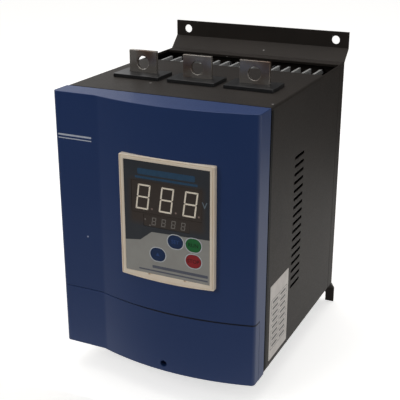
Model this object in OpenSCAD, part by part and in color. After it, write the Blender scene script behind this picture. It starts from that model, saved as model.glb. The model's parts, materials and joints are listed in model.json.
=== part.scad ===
// Three-phase soft starter for wall mounting: a folded steel case round a finned heat sink,
// three thyristor modules with copper bars that leave through the top and the bottom, and a
// moulded front with a display unit. The origin lies midway between the two upper wall holes,
// on the wall. X is to the right seen from the front, +Y points into the wall, Z is up.

/* [Case] */
// Width of the folded case
case_w = 206; // [200:1:230]
// Height of the case
case_h = 260; // [250:1:300]
// Depth of the case from its front edge to its rear face
case_d = 214; // [206:1:250]
// Thickness of the sheet steel
sheet_t = 1.5; // [1:0.1:2]
// Outer radius of the folds
fold_r = 2.5; // [2.2:0.1:4]
// Width of the flanges folded inwards at the front and at the bottom
flange_w = 12; // [10:0.5:14]
// Clearance between lapped sheets
lap_gap = 0.2; // [0.1:0.05:0.4]

/* [Vents] */
// Number of slots in each side
vent_n = 17; // [8:1:20]
// Distance from slot to slot
vent_pitch = 8.4; // [7:0.1:9]
// Length of a slot
vent_l = 26; // [16:1:29]
// Height of a slot
vent_h = 3; // [2:0.1:4]
// Front end of the slots behind the case's front edge
vent_y = 66; // [50:1:68]
// Height of the middle of the column of slots
vent_z = 128.4; // [110:0.1:140]
// Front edge of the air outlet in the top and of the inlet in the bottom
outlet_y = 143; // [125:1:160]

/* [Rear tray and wall brackets] */
// Depth of the lip round the rear tray
tray_lip = 15; // [10:0.5:20]
// Thickness of the wall brackets
bracket_t = 2; // [1.5:0.1:3]
// How far the brackets stand back from the tray
bracket_set = 13.5; // [8:0.5:20]
// Height over which a bracket slopes back
bracket_rise = 12.5; // [9:0.5:14]
// Reach of a bracket above or below the case
bracket_reach = 29.5; // [27:0.5:40]
// Height of the part of a bracket that lies on the tray
bracket_lap = 22; // [18:1:40]
// Height of the wall holes' centres above or below the case
hole_rise = 20.5; // [20:0.5:22]
// Distance of the wall holes from the case's sides
hole_inset = 15; // [13:0.5:28]
// Diameter of the wall holes and width of the wall slots
hole_d = 9; // [7:0.1:10]

/* [Front covers] */
// Depth of the covers' side walls in front of the case
cover_d = 26; // [24:0.5:34]
// Wall thickness of the covers
cover_wall = 2.5; // [2:0.1:3]
// Shadow gap between the covers and the case
cover_gap = 2; // [1:0.1:2.5]
// How far the front bulges out beyond its flat wing
bulge = 12; // [9:0.5:15]
// Width of the flat wing on the left
wing_w = 45; // [35:1:50]
// Radius of the covers' upright front edges
corner_r = 4; // [3.2:0.1:6]
// Height of the seam between the front cover and the terminal cover
seam_z = 63; // [56:0.5:70]
// Gap at the seam
seam_gap = 0.6; // [0.3:0.1:1]
// Depth of the terminal cover's side returns
return_d = 10.5; // [9:0.5:13]
// Place of the terminal cover's screw to the right of the middle
screw_x = 14.5; // [-20:0.5:40]
// Height of the terminal cover's screw
screw_z = 8; // [8:0.5:10]

/* [Display unit] */
// Width of the bezel
bezel_w = 94.5; // [92:0.5:100]
// Height of the bezel
bezel_h = 117; // [114:0.5:124]
// Place of the display unit to the right of the middle
unit_x = 20.3; // [15:0.1:24]
// Height of the middle of the display unit
unit_z = 155; // [146:0.5:170]
// Width of the bezel's border round the overlay
border = 4.5; // [3.5:0.1:5]
// How far the bezel's lower edge bows down in the middle
bezel_bow = 2.5; // [1:0.1:4]
// How far the bezel stands out in front of the bulge
bezel_proud = 1.2; // [1.1:0.1:3]
// How far the overlay is sunk below the bezel
overlay_sink = 0.5; // [0.3:0.1:0.8]
// Thickness of the overlay
overlay_t = 0.8; // [0.5:0.1:1]
// Depth of the display unit behind the overlay
unit_d = 18; // [16:0.5:19]

/* [Displays] */
// Width of the three-digit display
large_w = 70; // [66:0.5:76]
// Height of the three-digit display
large_h = 30; // [28:0.5:32]
// Height of its middle above the unit's middle
large_rise = 20.4; // [18:0.1:26]
// Width of the four-digit display
small_w = 46; // [40:0.5:60]
// Height of the four-digit display
small_h = 11; // [9:0.5:12]
// Depth of its middle below the unit's middle
small_drop = 1.6; // [0:0.1:2]

/* [Keys] */
// Width of an oval key
key_w = 15; // [13:0.1:15]
// Height of an oval key
key_h = 12.4; // [10:0.1:12.5]
// Distance from key to key sideways
key_pitch_x = 18; // [17.8:0.1:19]
// Distance from key to key upwards
key_pitch_z = 15.6; // [15.2:0.1:17]
// Place of the right-hand keys to the right of the unit's middle
key_right = 26.8; // [24:0.1:28]
// Depth of the lower keys below the unit's middle
key_drop = 33.4; // [33:0.1:38]
// Travel of a key
key_travel = 0.5; // [0.3:0.05:0.6]
// How far a key stands out in front of the overlay
key_proud = 0.4; // [0.3:0.05:0.6]

/* [Copper bars] */
// Sideways shift of the middle phase
phase_shift = 1.5; // [-2:0.5:2]
// Width of a bar
bar_w = 30; // [24:0.5:32]
// Thickness of a bar
bar_t = 4; // [3:0.5:5]
// Distance of the bars' middle plane from the case's front edge
bar_y = 66; // [60:0.5:70]
// Height of a terminal tab above or below the case
tab_h = 25; // [22:0.5:30]
// Diameter of the hole in a tab
lug_d = 13; // [9:0.1:14]
// Height of that hole's centre above or below the case
lug_rise = 13; // [12:0.5:15]
// Distance of the outer insulating pads from the case's sides
pad_edge = 19; // [17:0.5:24]
// Gap between neighbouring pads
pad_space = 9; // [5:0.5:12]
// Depth of an insulating pad
pad_d = 31; // [26:0.5:36]
// Thickness of an insulating pad
pad_t = 3.5; // [2:0.1:5]

/* [Heat sink and modules] */
// Thickness of the heat sink's base
sink_base = 12; // [8:0.5:16]
// Least clearance between the heat sink and the case's sides
sink_side = 8; // [7:0.5:12]
// Distance from fin to fin
fin_pitch = 11.6; // [9:0.1:12]
// Thickness of a fin
fin_t = 2.5; // [1.5:0.1:3.5]
// Length of a fin from the base to its rear edge
fin_l = 71.5; // [50:0.5:84]
// Clearance between the heat sink and the case's top and bottom
sink_clear = 3.5; // [3:0.5:6]
// Width of a thyristor module
module_w = 34; // [30:0.5:36]
// Height of a thyristor module
module_h = 94; // [90:1:110]
// Depth of a thyristor module from the heat sink to its terminals
module_d = 32; // [28:0.5:36]
// Height of the middle of the modules
module_z = 150; // [140:1:165]

/* [Control board] */
// Width of the control board
board_w = 150; // [140:1:154]
// Height of the control board
board_h = 186; // [180:1:190]
// Height of the board's lower edge
board_z = 16; // [14:0.5:18]
// Height of the board's spacers
spacer_h = 8; // [6:0.5:9]
// Number of ways in the control terminal block
way_n = 13; // [6:1:13]
// Distance from way to way
way_pitch = 10; // [7.5:0.1:10]

/* [Hidden] */
$fn = 40;

// Colours
case_black = "#2b2928";
cover_blue = "#22305c";
unit_cream = "#d8c8b0";
copper_tinned = "#b8b4ac";
board_green = "#2f5a3a";
plastic_black = "#1c1c1d";
display_black = "#241d1b";
steel_zinc = "#b0b2b4";

// Fasteners: shank, head and head height of each size, and the clearance of a hole round a shank
m3 = [3, 5.6, 1.9];
m4 = [4, 7.6, 2.6];
m5 = [5, 9.4, 3.2];
m6 = [6, 11, 3.8];
tapping = [2.5, 5.6, 1.9];
hole_play = 0.4;
socket_share = 0.9;

// Lengths of the screws
plate_screw_l = 8;
bracket_screw_l = 9;
chassis_screw_l = 8;
cover_screw_l = 10;
terminal_screw_l = 12;
keypad_screw_l = 5;
bar_screw_l = 12;
sink_screw_l = 9;
module_screw_l = 10;
board_screw_end = 3;

// Main planes in the case's own frame: its front edge is y = 0 and its bottom is z = 0
half_w = case_w / 2;
inner_w = half_w - sheet_t;
wall_gap = bracket_set + bracket_t;
wing_y = -cover_d;
chassis_y = -sheet_t;
eps = 0.01;
cut = 1;

// Rear tray: its lip is flush with the case, which steps in to pass behind the lip
lip_y = case_d - tray_lip;
joggle = sheet_t + lap_gap;
tray_seam = 0.5;

// Edges of the plates inside the case and of the wall brackets
plate_inset = 3;
plate_fold = 10;
bracket_trim = 0.5;
chassis_inset = 4.2;
chassis_low = 2;
chassis_drop = 10;
chassis_play = 0.4;
lead_way_w = 60;
lead_way_h = 16;
lead_way_drop = 24;
hole_pitch = case_w - 2 * hole_inset;

// The front's plan: a flat wing, a crease and one arc that ends at the right-hand wall
crease_x = wing_w - half_w;
bulge_x = (crease_x + half_w) / 2;
half_chord = half_w - bulge_x;
bulge_r = (half_chord * half_chord + bulge * bulge) / (2 * bulge);
bulge_c = [bulge_x, wing_y - bulge + bulge_r];
bulge_y = wing_y - bulge;
right_turn = asin((half_w - corner_r - bulge_x) / (bulge_r - corner_r));
right_c = bulge_c + (bulge_r - corner_r) * [sin(right_turn), -cos(right_turn)];
left_c = [corner_r - half_w, wing_y + corner_r];
return_y = wing_y + return_d;
bulge_steps = 32;
edge_steps = 6;
corner_steps = 4;

// Hooks, tabs and tongue that hold the covers
hook_w = 14;
hook_t = 3;
hook_inset = 32;
hook_start = 6;
hook_play = 0.5;
hook_drop = 15;
side_lap = 3;
tongue_t = 2;
tongue_play = 0.3;
tongue_rise = 7;
tongue_drop = 8;
catch_w = 10;
catch_t = 2.3;
catch_play = 0.9;
catch_low = 14;
catch_shelf = 5;
catch_rise = 2;
catch_root = 0.5;
boss_d = 11;
boss_floor = 6;
well_d = 6.8;

// Display unit, from its front to its back
rim_w = 3.2;
bezel_r = 1.2;
least_r = 0.1;
bow_steps = 16;
bead_w = 1.2;
bead_bevel = 0.5;
groove_w = 0.8;
groove_t = 0.6;
slope_w = 1;
notch = [2.6, 1.2, 2.2];
notch_place = 18.2;
unit_wall = 2;
unit_front_t = 3;
unit_gap = 0.4;
body_w = bezel_w - 2 * rim_w;
body_h = bezel_h - 2 * rim_w;
overlay_w = bezel_w - 2 * border;
overlay_h = bezel_h - 2 * border;
overlay_gap = 0.2;
bezel_y = bulge_y - bezel_proud;
overlay_y = bezel_y + overlay_sink;
panel_y = overlay_y + overlay_t;
panel_back_y = panel_y + unit_front_t;
unit_back_y = panel_y + unit_d;
display_sink = 0.2;
back_t = 2;
back_way = [28, 12];
pcb_t = 1.6;
pcb_gap = 0.5;
switch_w = 6;
switch_h = 3.5;
plunger_d = 3.6;
plunger_sink = 1;
stem_gap = 0.1;
post_h = 6;
post_d = 6;
post_inset = 4;
keypad_y = panel_back_y + post_h;
lead_w = 20;
lead_t = 1;
lead_plug = 6;
lead_rise = 20;
lead_fall = 30;

// Keys: each is a column and a row counted from the lower right-hand key
key_places = [["key_set", [-1, 1]], ["key_shift", [-2, 0]], ["key_run", [0, 1]], ["key_stop", [0, 0]]];
key_flange = 0.8;
key_flange_t = 1;
key_play = 0.3;
stem_d = 5;

// Power path: the pads share the case's width, and the heat sink has as many fins as fit beside it
pad_w = (case_w - 2 * pad_edge - 2 * pad_space) / 3;
phase_pitch = pad_w + pad_space;
pad_r = 1.5;
bar_front = bar_y - bar_t / 2;
bar_back = bar_y + bar_t / 2;
sink_y = bar_back + module_d;
fin_y = sink_y + sink_base;
sink_edge = 12;
fin_n = floor((2 * inner_w - 2 * sink_side - sink_edge) / fin_pitch) + 1;
sink_w = (fin_n - 1) * fin_pitch + sink_edge;
sink_tap = 9;
sink_h = case_h - 2 * sink_clear;
terminal_step = 26;
terminal_h = 20;
terminal_trim = 1;
terminal_tap = 10;
module_base = 3;
module_post = 5;
module_ear = 12;
module_inset = 3;
module_r = 3;
thermal_d = 15;
thermal_h = 7;
blade_t = 1;
blade_w = 6;
blade_h = 4;
ct_side = 9;
ct_end = 13;
ct_h = 18;
ct_r = 4;
bar_play = 0.3;
collar_margin = 3.5;
collar_play = 0.4;
pad_back = 15;
angle_t = 2;
angle_leg = 22;
angle_overlap = 12;
angle_inset = 20;
angle_w = inner_w - sink_w / 2 + angle_overlap;

// Control board
board_y = chassis_y - spacer_h;
board_front = board_y - pcb_t;
board_margin = 8;
board_left = board_margin - board_w / 2;
board_mid = board_z + board_h / 2;
board_inset = 5;
spacer_d = 6;
block_gap = 1;
block_y = wing_y + cover_wall + block_gap;
block_rise = 8;
block_h = 16;
block_slope = [4, 5];
block_end = 1;
way_share = 0.64;
way_h = 7;
way_wall = 2.5;
way_deep = 8;
way_screw_z = 6;
way_screw_share = 0.42;
way_screw_deep = 2;

// Parts on the control board: width, depth and height of each, and how they are spread
relay = [16, 10, 20];
relay_pitch = 24;
relay_drop = 18;
pulse = [14, 5.5, 16];
pulse_pitch = [17, 22];
pulse_in = 24;
pulse_drop = 20;
capacitor_d = 10;
capacitor_h = 10;
capacitor_pitch = 14;
capacitor_z = 40;
core = [32, 18, 20];
coil = [20, 14, 28];
core_z = 32;

// Placing and extruding in the case's frame
module in_case() translate([0, -(case_d + wall_gap), -(case_h + hole_rise)]) children();
module along_x(x0, x1) translate([x0, 0, 0]) rotate([90, 0, 90]) linear_extrude(x1 - x0) children();
module along_y(y0, y1) translate([0, y1, 0]) rotate([90, 0, 0]) linear_extrude(y1 - y0) children();
module along_z(z0, z1) translate([0, 0, z0]) linear_extrude(z1 - z0) children();
module box(lo, hi) translate(lo) cube(hi - lo);
module rod_y(x, z, d, y0, y1) translate([x, y1, z]) rotate([90, 0, 0]) cylinder(d = d, h = y1 - y0);
module on_side(s) mirror([s < 0 ? 1 : 0, 0, 0]) children();
module both_sides() for (s = [-1, 1]) on_side(s) children();

// Points on an arc about c, with angles counted from straight ahead towards the right
function arc(c, r, a0, a1, n, first = 0) =
    [for (i = [first:n]) let (a = a0 + (a1 - a0) * i / n) c + r * [sin(a), -cos(a)]];

// Outline of a rectangle with round corners about a centre
function round_rect(c, w, h, r, n = corner_steps) = concat(
    arc(c + [w / 2 - r, r - h / 2], r, 0, 90, n), arc(c + [w / 2 - r, h / 2 - r], r, 90, 180, n),
    arc(c + [r - w / 2, h / 2 - r], r, 180, 270, n), arc(c + [r - w / 2, r - h / 2], r, 270, 360, n));

// The front's curve from the left corner to the right one, set back by i
function front_curve(i) = concat(
    [[left_c[0], wing_y + i]],
    arc(bulge_c, bulge_r - i, -acos((bulge_r - bulge - i) / (bulge_r - i)), right_turn, bulge_steps));

// Closed plan of the covers, set in by i, with its open side at y = rear
function plan(i, rear) = concat(
    [[i - half_w, rear]], arc(left_c, corner_r - i, -90, -90 / edge_steps, edge_steps - 1),
    front_curve(i), arc(right_c, corner_r - i, right_turn, 90, edge_steps, 1), [[half_w - i, rear]]);

// Band that follows the front between two set-backs
function front_band(i0, i1) = concat(front_curve(i0), reversed(front_curve(i1)));
function reversed(list) = [for (i = [len(list) - 1:-1:0]) list[i]];

// Depth of the front's outer face at x
function front_at(x) = x < crease_x
    ? wing_y : bulge_c[1] - sqrt(bulge_r * bulge_r - (x - bulge_x) * (x - bulge_x));

function phase_x(i) = phase_shift + (i - 2) * phase_pitch;
function key_x(place) = unit_x + key_right + place[0] * key_pitch_x;
function key_z(place) = unit_z - key_drop + place[1] * key_pitch_z;
function spread(n, span) = [for (i = [0:n - 1]) (i / (n - 1) - 0.5) * span];
function ends(span, inset) = [inset, span / 2, span - inset];

// Screw along Y with its head's underside at y; turn is 1 for a shank towards +Y, -1 towards -Y
module screw_y(x, y, z, size, length, turn) {
    translate([x, y, z]) rotate([-90 * turn, 0, 0]) {
        cylinder(d = size[0], h = length);
        translate([0, 0, -size[2]]) difference() {
            cylinder(d = size[1], h = size[2]);
            translate([0, 0, -eps]) cylinder(d = size[0] * socket_share, h = size[2] / 2, $fn = 6);
        }
    }
}

// Screw along Z with its head below, underside of the head at z
module screw_up(x, y, z, size, length) translate([x, y, z]) rotate([90, 0, 0])
    screw_y(0, 0, 0, size, length, 1);

// Holes for screws along Y
module holes_y(points, d, y0, y1) for (p = points) rod_y(p[0], p[1], d, y0, y1);

// Places of the fasteners
bracket_screw_inset = 23;
bracket_xs = spread(4, case_w - 2 * bracket_screw_inset);
bracket_zs = [bracket_lap / 2, case_h - bracket_lap / 2];
chassis_screw_inset = 20.8;
chassis_screw_x = half_w - flange_w / 2 - sheet_t;
chassis_points = [for (s = [-1, 1], z = ends(case_h, chassis_screw_inset)) [s * chassis_screw_x, z]];
plate_screw_front = 20;
plate_screw_back = 14;
plate_screw_ys = [plate_screw_front, outlet_y / 2, outlet_y - plate_screw_back];
plate_screw_x = half_w - flange_w / 2 - sheet_t / 2;
cover_tab_w = 14;
cover_tab_h = 16;
cover_tab_t = 4;
cover_tab_in = 8;
cover_tab_drop = 22;
cover_tab_z = seam_z - cover_tab_drop;
cover_tab_x = half_w - flange_w - cover_tab_in;
cover_points = [for (s = [-1, 1]) [s * cover_tab_x, cover_tab_z]];
module_screw_inset = 6;
module_screw_z = [for (s = [-1, 1]) module_z + s * (module_h / 2 - module_screw_inset)];
angle_screw_inset = 41.6;
angle_screw_z = ends(case_h, angle_screw_inset);
angle_screw_x = sink_w / 2 - angle_overlap / 2;
board_points = [for (x = spread(2, board_w - 2 * board_inset), z = spread(3, board_h - 2 * board_inset))
    [x, board_mid + z]];
post_span = 2 * (unit_wall + post_inset);
keypad_points = [for (x = spread(2, body_w - post_span), z = spread(2, body_h - post_span))
    [unit_x + x, unit_z + z]];

// Rectangular way for a phase's collar through the top or the bottom
module collar_ways(z0, z1) for (i = [1:3]) {
    half = bar_w / 2 + collar_margin + collar_play;
    box([phase_x(i) - half, bar_front - collar_margin - collar_play, z0],
        [phase_x(i) + half, bar_back + collar_margin + collar_play, z1]);
}

// Holes for the bottom plate's screws
module plate_screw_holes(z0, z1) for (s = [-1, 1], y = plate_screw_ys)
    translate([s * plate_screw_x, y, z0]) cylinder(d = m4[0] + hole_play, h = z1 - z0);

// Outline of the case, set in by i
function case_outline(i, r) = round_rect([0, case_h / 2], case_w - 2 * i, case_h - 2 * i, r, edge_steps);

module case_wrap() color(case_black) in_case() difference() {
    step_y = lip_y - tray_seam;
    union() {
        difference() {
            union() {
                along_y(0, step_y) polygon(case_outline(0, fold_r));
                along_y(step_y - eps, case_d - sheet_t) polygon(case_outline(joggle, fold_r));
            }
            along_y(-cut, step_y - sheet_t) polygon(case_outline(sheet_t, fold_r - sheet_t));
            along_y(step_y - sheet_t - cut, case_d)
                polygon(case_outline(joggle + sheet_t, fold_r - sheet_t));
            box([flange_w - half_w, -cut, -cut], [half_w - flange_w, case_d, joggle + sheet_t + cut]);
        }
        both_sides() box([half_w - flange_w, 0, fold_r], [inner_w + eps, sheet_t, case_h - fold_r]);
    }
    // Air outlet between the top and the rear tray's lip
    box([-inner_w, outlet_y, case_h - fold_r - cut], [inner_w, lip_y + cut, case_h + cut]);
    collar_ways(case_h - sheet_t - cut, case_h + cut);
    both_sides() along_x(inner_w - cut, half_w + cut) for (dz = spread(vent_n, (vent_n - 1) * vent_pitch))
        polygon(round_rect([vent_y + vent_l / 2, vent_z + dz], vent_l, vent_h, vent_h / 2 - eps, 2));
    holes_y(chassis_points, m4[0] + hole_play, -cut, sheet_t + cut);
    plate_screw_holes(-cut, sheet_t + cut);
}

module rear_tray() color(case_black) in_case() difference() {
    along_y(lip_y, case_d) polygon(case_outline(0, fold_r));
    along_y(lip_y - cut, case_d - sheet_t) polygon(case_outline(sheet_t, fold_r - sheet_t));
    holes_y([for (x = bracket_xs, z = bracket_zs) [x, z]],
            m5[0] + hole_play, case_d - sheet_t - cut, case_d + cut);
}

module bottom_plate() color(case_black) in_case() difference() {
    front = sheet_t + plate_inset;
    fold_x = half_w - flange_w - plate_inset;
    union() {
        box([plate_inset - half_w, front, -sheet_t], [half_w - plate_inset, outlet_y, 0]);
        box([-fold_x, front, -eps], [fold_x, front + sheet_t, plate_fold]);
    }
    collar_ways(-sheet_t - cut, cut);
    plate_screw_holes(-sheet_t - cut, cut);
}

module bottom_plate_screws() color(steel_zinc) in_case()
    for (s = [-1, 1], y = plate_screw_ys) screw_up(s * plate_screw_x, y, -sheet_t, m4, plate_screw_l);

// Section of a wall bracket above the case's top edge, as [y, height above the edge]
module bracket_section() {
    turn = atan(bracket_set / bracket_rise);
    mitre = [bracket_t, -bracket_t * tan(turn / 2)];
    bend = [case_d, 0];
    knee = [case_d + bracket_set, bracket_rise];
    polygon([[case_d, -bracket_lap], bend, knee, [knee[0], bracket_reach],
             [knee[0] + bracket_t, bracket_reach], knee + mitre, bend + mitre,
             [case_d + bracket_t, -bracket_lap]]);
}

module bracket_blank() difference() {
    along_x(bracket_trim - half_w, half_w - bracket_trim) bracket_section();
    holes_y([for (x = bracket_xs) [x, -bracket_lap / 2]],
            m5[0] + hole_play, case_d - cut, case_d + bracket_t + cut);
}

module upper_bracket() color(case_black) in_case() translate([0, 0, case_h]) difference() {
    bracket_blank();
    holes_y([for (s = [-1, 1]) [s * hole_pitch / 2, hole_rise]], hole_d, case_d, case_d + wall_gap + cut);
}

module lower_bracket() color(case_black) in_case() mirror([0, 0, 1]) difference() {
    bracket_blank();
    for (s = [-1, 1]) {
        rod_y(s * hole_pitch / 2, hole_rise, hole_d, case_d, case_d + wall_gap + cut);
        translate([s * hole_pitch / 2 - hole_d / 2, case_d, hole_rise])
            cube([hole_d, wall_gap + cut, bracket_reach]);
    }
}

module bracket_screws() color(steel_zinc) in_case()
    for (x = bracket_xs, z = bracket_zs) screw_y(x, case_d + bracket_t, z, m5, bracket_screw_l, -1);

module chassis_plate() color(steel_zinc) in_case() difference() {
    edge = half_w - chassis_inset;
    box([-edge, chassis_y, chassis_low], [edge, 0, case_h - chassis_drop]);
    holes_y(concat(chassis_points, cover_points), m4[0] + hole_play, chassis_y - cut, cut);
    holes_y(concat(board_points, [[screw_x, screw_z]]), m3[0] + hole_play, chassis_y - cut, cut);
    // Way for the gate leads
    translate([0, 0, case_h - lead_way_drop - lead_way_h])
        box([-lead_way_w / 2, chassis_y - cut, 0], [lead_way_w / 2, cut, lead_way_h]);
}

module chassis_screws() color(steel_zinc) in_case()
    for (p = chassis_points) screw_y(p[0], chassis_y, p[1], m4, chassis_screw_l, 1);

// Hook under the front cover's top that drops behind the chassis plate's upper edge
module cover_hook(x) {
    top = case_h - cover_wall + eps;
    low = case_h - chassis_drop + hook_play;
    front = wing_y + hook_start;
    translate([x - hook_w / 2, 0, 0]) {
        box([0, front, low], [hook_w, hook_t, top - hook_t]);
        box([0, front, low], [hook_w, -cover_gap, top]);
        box([0, chassis_play, case_h - hook_drop], [hook_w, hook_t, top - hook_t]);
    }
}

module front_cover() color(cover_blue) in_case() difference() {
    tongue_back = cover_wall + tongue_play + tongue_t;
    union() {
        difference() {
            along_z(seam_z + seam_gap / 2, case_h) polygon(plan(0, -cover_gap));
            along_z(0, case_h - cover_wall) polygon(plan(cover_wall, cut));
        }
        both_sides() {
            box([half_w - cover_wall, return_y + seam_gap, 0], [half_w, -cover_gap, seam_z + side_lap]);
            box([cover_tab_x - cover_tab_w / 2, chassis_y - cover_tab_t, cover_tab_z - cover_tab_h / 2],
                [half_w - cover_wall + eps, chassis_y, cover_tab_z + cover_tab_h / 2]);
            cover_hook(half_w - hook_inset);
        }
        // Tongue that the terminal cover hooks behind
        along_z(seam_z + seam_gap / 2, seam_z + tongue_rise)
            polygon(front_band(cover_wall - tongue_play, tongue_back));
        along_z(seam_z - tongue_drop, seam_z + tongue_rise)
            polygon(front_band(cover_wall + tongue_play, tongue_back));
    }
    along_y(bulge_y - cut, chassis_y - cover_tab_t - cut) translate([unit_x, unit_z])
        square([body_w + 2 * unit_gap, body_h + 2 * unit_gap], center = true);
    holes_y(cover_points, m4[0] + hole_play, chassis_y - cover_tab_t - cut, 0);
}

module front_cover_screws() color(steel_zinc) in_case()
    for (p = cover_points) screw_y(p[0], chassis_y - cover_tab_t, p[1], m4, cover_screw_l, 1);

// Hook inside the terminal cover that reaches up behind the front cover's tongue
module terminal_hook(x) {
    wall = front_at(x) + cover_wall;
    back = wall + tongue_play + tongue_t + catch_play;
    low = seam_z - catch_low;
    translate([x - catch_w / 2, 0, 0]) {
        box([0, wall - catch_root, low], [catch_w, back + catch_t, low + catch_shelf]);
        box([0, back, low], [catch_w, back + catch_t, seam_z + catch_rise]);
    }
}

module terminal_cover() color(cover_blue) in_case() difference() {
    union() {
        difference() {
            along_z(0, seam_z - seam_gap / 2) polygon(plan(0, return_y));
            along_z(cover_wall, seam_z) polygon(plan(cover_wall, cut));
        }
        rod_y(screw_x, screw_z, boss_d, front_at(screw_x) + cover_wall / 2, chassis_y);
        terminal_hook(crease_x - wing_w / 2);
        terminal_hook(bulge_x);
    }
    rod_y(screw_x, screw_z, well_d, bulge_y - cut, chassis_y - boss_floor);
    rod_y(screw_x, screw_z, m3[0] + hole_play, bulge_y - cut, 0);
}

module terminal_cover_screw() color(steel_zinc) in_case()
    screw_y(screw_x, chassis_y - boss_floor, screw_z, m3, terminal_screw_l, 1);

// Oval of a key, grown by a margin
module key_oval(margin) polygon(round_rect([0, 0], key_w + 2 * margin, key_h + 2 * margin,
                                           key_h / 2 + margin - eps, 8));

module at_keys() for (k = key_places) translate([key_x(k[1]), 0, key_z(k[1])]) children();

// Rectangle about the display unit's middle, and the windows for the two displays
module unit_square(w, h) translate([unit_x, unit_z]) square([w, h], center = true);
module large_window(play) translate([0, large_rise]) unit_square(large_w + 2 * play, large_h + 2 * play);
module small_window(play) translate([0, -small_drop]) unit_square(small_w + 2 * play, small_h + 2 * play);

// Outline of the bezel, set in by i: a rectangle whose lower edge is an arc that bows down
function bezel_outline(i) =
    let (r = max(bezel_r - i, least_r), x = bezel_w / 2 - i - r, z = bezel_h / 2 - i - r,
         bow_r = (bezel_w * bezel_w / 4 + bezel_bow * bezel_bow) / (2 * bezel_bow),
         c = [unit_x, unit_z - bezel_h / 2 - bezel_bow + bow_r], turn = asin(x / (bow_r - i - r)),
         low = c[1] - (bow_r - i - r) * cos(turn))
    concat(arc(c, bow_r - i, -turn, turn, bow_steps, 1),
           arc([unit_x + x, low], r, turn, 90, corner_steps, 1),
           arc([unit_x + x, unit_z + z], r, 90, 180, corner_steps),
           arc([unit_x - x, unit_z + z], r, 180, 270, corner_steps),
           arc([unit_x - x, low], r, 270, 360 - turn, corner_steps));

// Groove inside the bezel's bead, slope down to the overlay and two notches for prying the overlay out
module bezel_cuts() {
    along_y(bezel_y - cut, bezel_y + groove_t) difference() {
        polygon(bezel_outline(bead_w));
        polygon(bezel_outline(bead_w + groove_w));
    }
    hull() {
        along_y(bezel_y - cut, bezel_y) unit_square(overlay_w + 2 * slope_w, overlay_h + 2 * slope_w);
        along_y(overlay_y - eps, overlay_y) unit_square(overlay_w, overlay_h);
    }
    for (s = [-1, 1]) translate([unit_x + s * notch_place, bezel_y, unit_z - overlay_h / 2])
        box([-notch[0] / 2, -cut, -notch[1]], [notch[0] / 2, notch[2], eps]);
}

module display_housing() color(unit_cream) in_case() difference() {
    union() {
        difference() {
            hull() {
                along_y(bezel_y, bezel_y + eps) polygon(bezel_outline(bead_bevel));
                along_y(bezel_y + bead_bevel, wing_y) polygon(bezel_outline(0));
            }
            along_z(0, case_h) polygon(plan(-lap_gap / 2, 0));
        }
        along_y(panel_y - eps, unit_back_y) unit_square(body_w, body_h);
    }
    bezel_cuts();
    along_y(bezel_y - cut, panel_y) unit_square(overlay_w, overlay_h);
    difference() {
        along_y(panel_back_y, unit_back_y + cut) unit_square(body_w - 2 * unit_wall, body_h - 2 * unit_wall);
        for (p = keypad_points) rod_y(p[0], p[1], post_d, panel_back_y - cut, keypad_y);
    }
    along_y(panel_y - cut, panel_back_y + cut) {
        large_window(overlay_gap);
        small_window(overlay_gap);
    }
    at_keys() {
        along_y(panel_y - cut, panel_y + key_flange_t + key_travel + stem_gap)
            key_oval(key_flange + key_play);
        rod_y(0, 0, stem_d + 2 * key_play, panel_y, panel_back_y + cut);
    }
    holes_y(keypad_points, tapping[0] + stem_gap, keypad_y - keypad_screw_l, keypad_y + cut);
}

module display_back() color(unit_cream) in_case() difference() {
    along_y(unit_back_y - back_t, unit_back_y)
        unit_square(body_w - 2 * unit_wall - overlay_gap, body_h - 2 * unit_wall - overlay_gap);
    along_y(unit_back_y - back_t - cut, unit_back_y + cut)
        translate([0, lead_rise]) unit_square(back_way[0], back_way[1]);
}

module overlay_panel() color("#2b3038") in_case() difference() {
    along_y(overlay_y, panel_y) unit_square(overlay_w - 2 * overlay_gap, overlay_h - 2 * overlay_gap);
    along_y(overlay_y - cut, panel_y + cut) {
        large_window(overlay_gap);
        small_window(overlay_gap);
    }
    at_keys() along_y(overlay_y - cut, panel_y + cut) key_oval(key_play);
}

module large_display() color(display_black) in_case()
    along_y(overlay_y + display_sink, keypad_y) large_window(0);
module small_display() color(display_black) in_case()
    along_y(overlay_y + display_sink, keypad_y) small_window(0);

// Key: an oval cap, a flange that stays behind the overlay and a stem that reaches its switch
module key(i, shade) color(shade) in_case() {
    place = key_places[i][1];
    translate([key_x(place), 0, key_z(place)]) {
        along_y(overlay_y - key_proud, panel_y + eps) key_oval(0);
        along_y(panel_y, panel_y + key_flange_t) key_oval(key_flange);
        rod_y(0, 0, stem_d, panel_y + key_flange_t - eps, keypad_y - switch_h - key_travel - stem_gap);
    }
}

module key_switches() color(plastic_black) in_case() at_keys() difference() {
    along_y(keypad_y - switch_h, keypad_y) square(switch_w, center = true);
    rod_y(0, 0, plunger_d, keypad_y - switch_h - cut, keypad_y - switch_h + plunger_sink);
}

module keypad_board() color(board_green) in_case() difference() {
    along_y(keypad_y, keypad_y + pcb_t)
        unit_square(body_w - 2 * (unit_wall + pcb_gap), body_h - 2 * (unit_wall + pcb_gap));
    holes_y(keypad_points, m3[0] + hole_play, keypad_y - cut, keypad_y + pcb_t + cut);
}

module keypad_screws() color(steel_zinc) in_case()
    for (p = keypad_points) screw_y(p[0], keypad_y + pcb_t, p[1], tapping, keypad_screw_l, -1);

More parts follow.
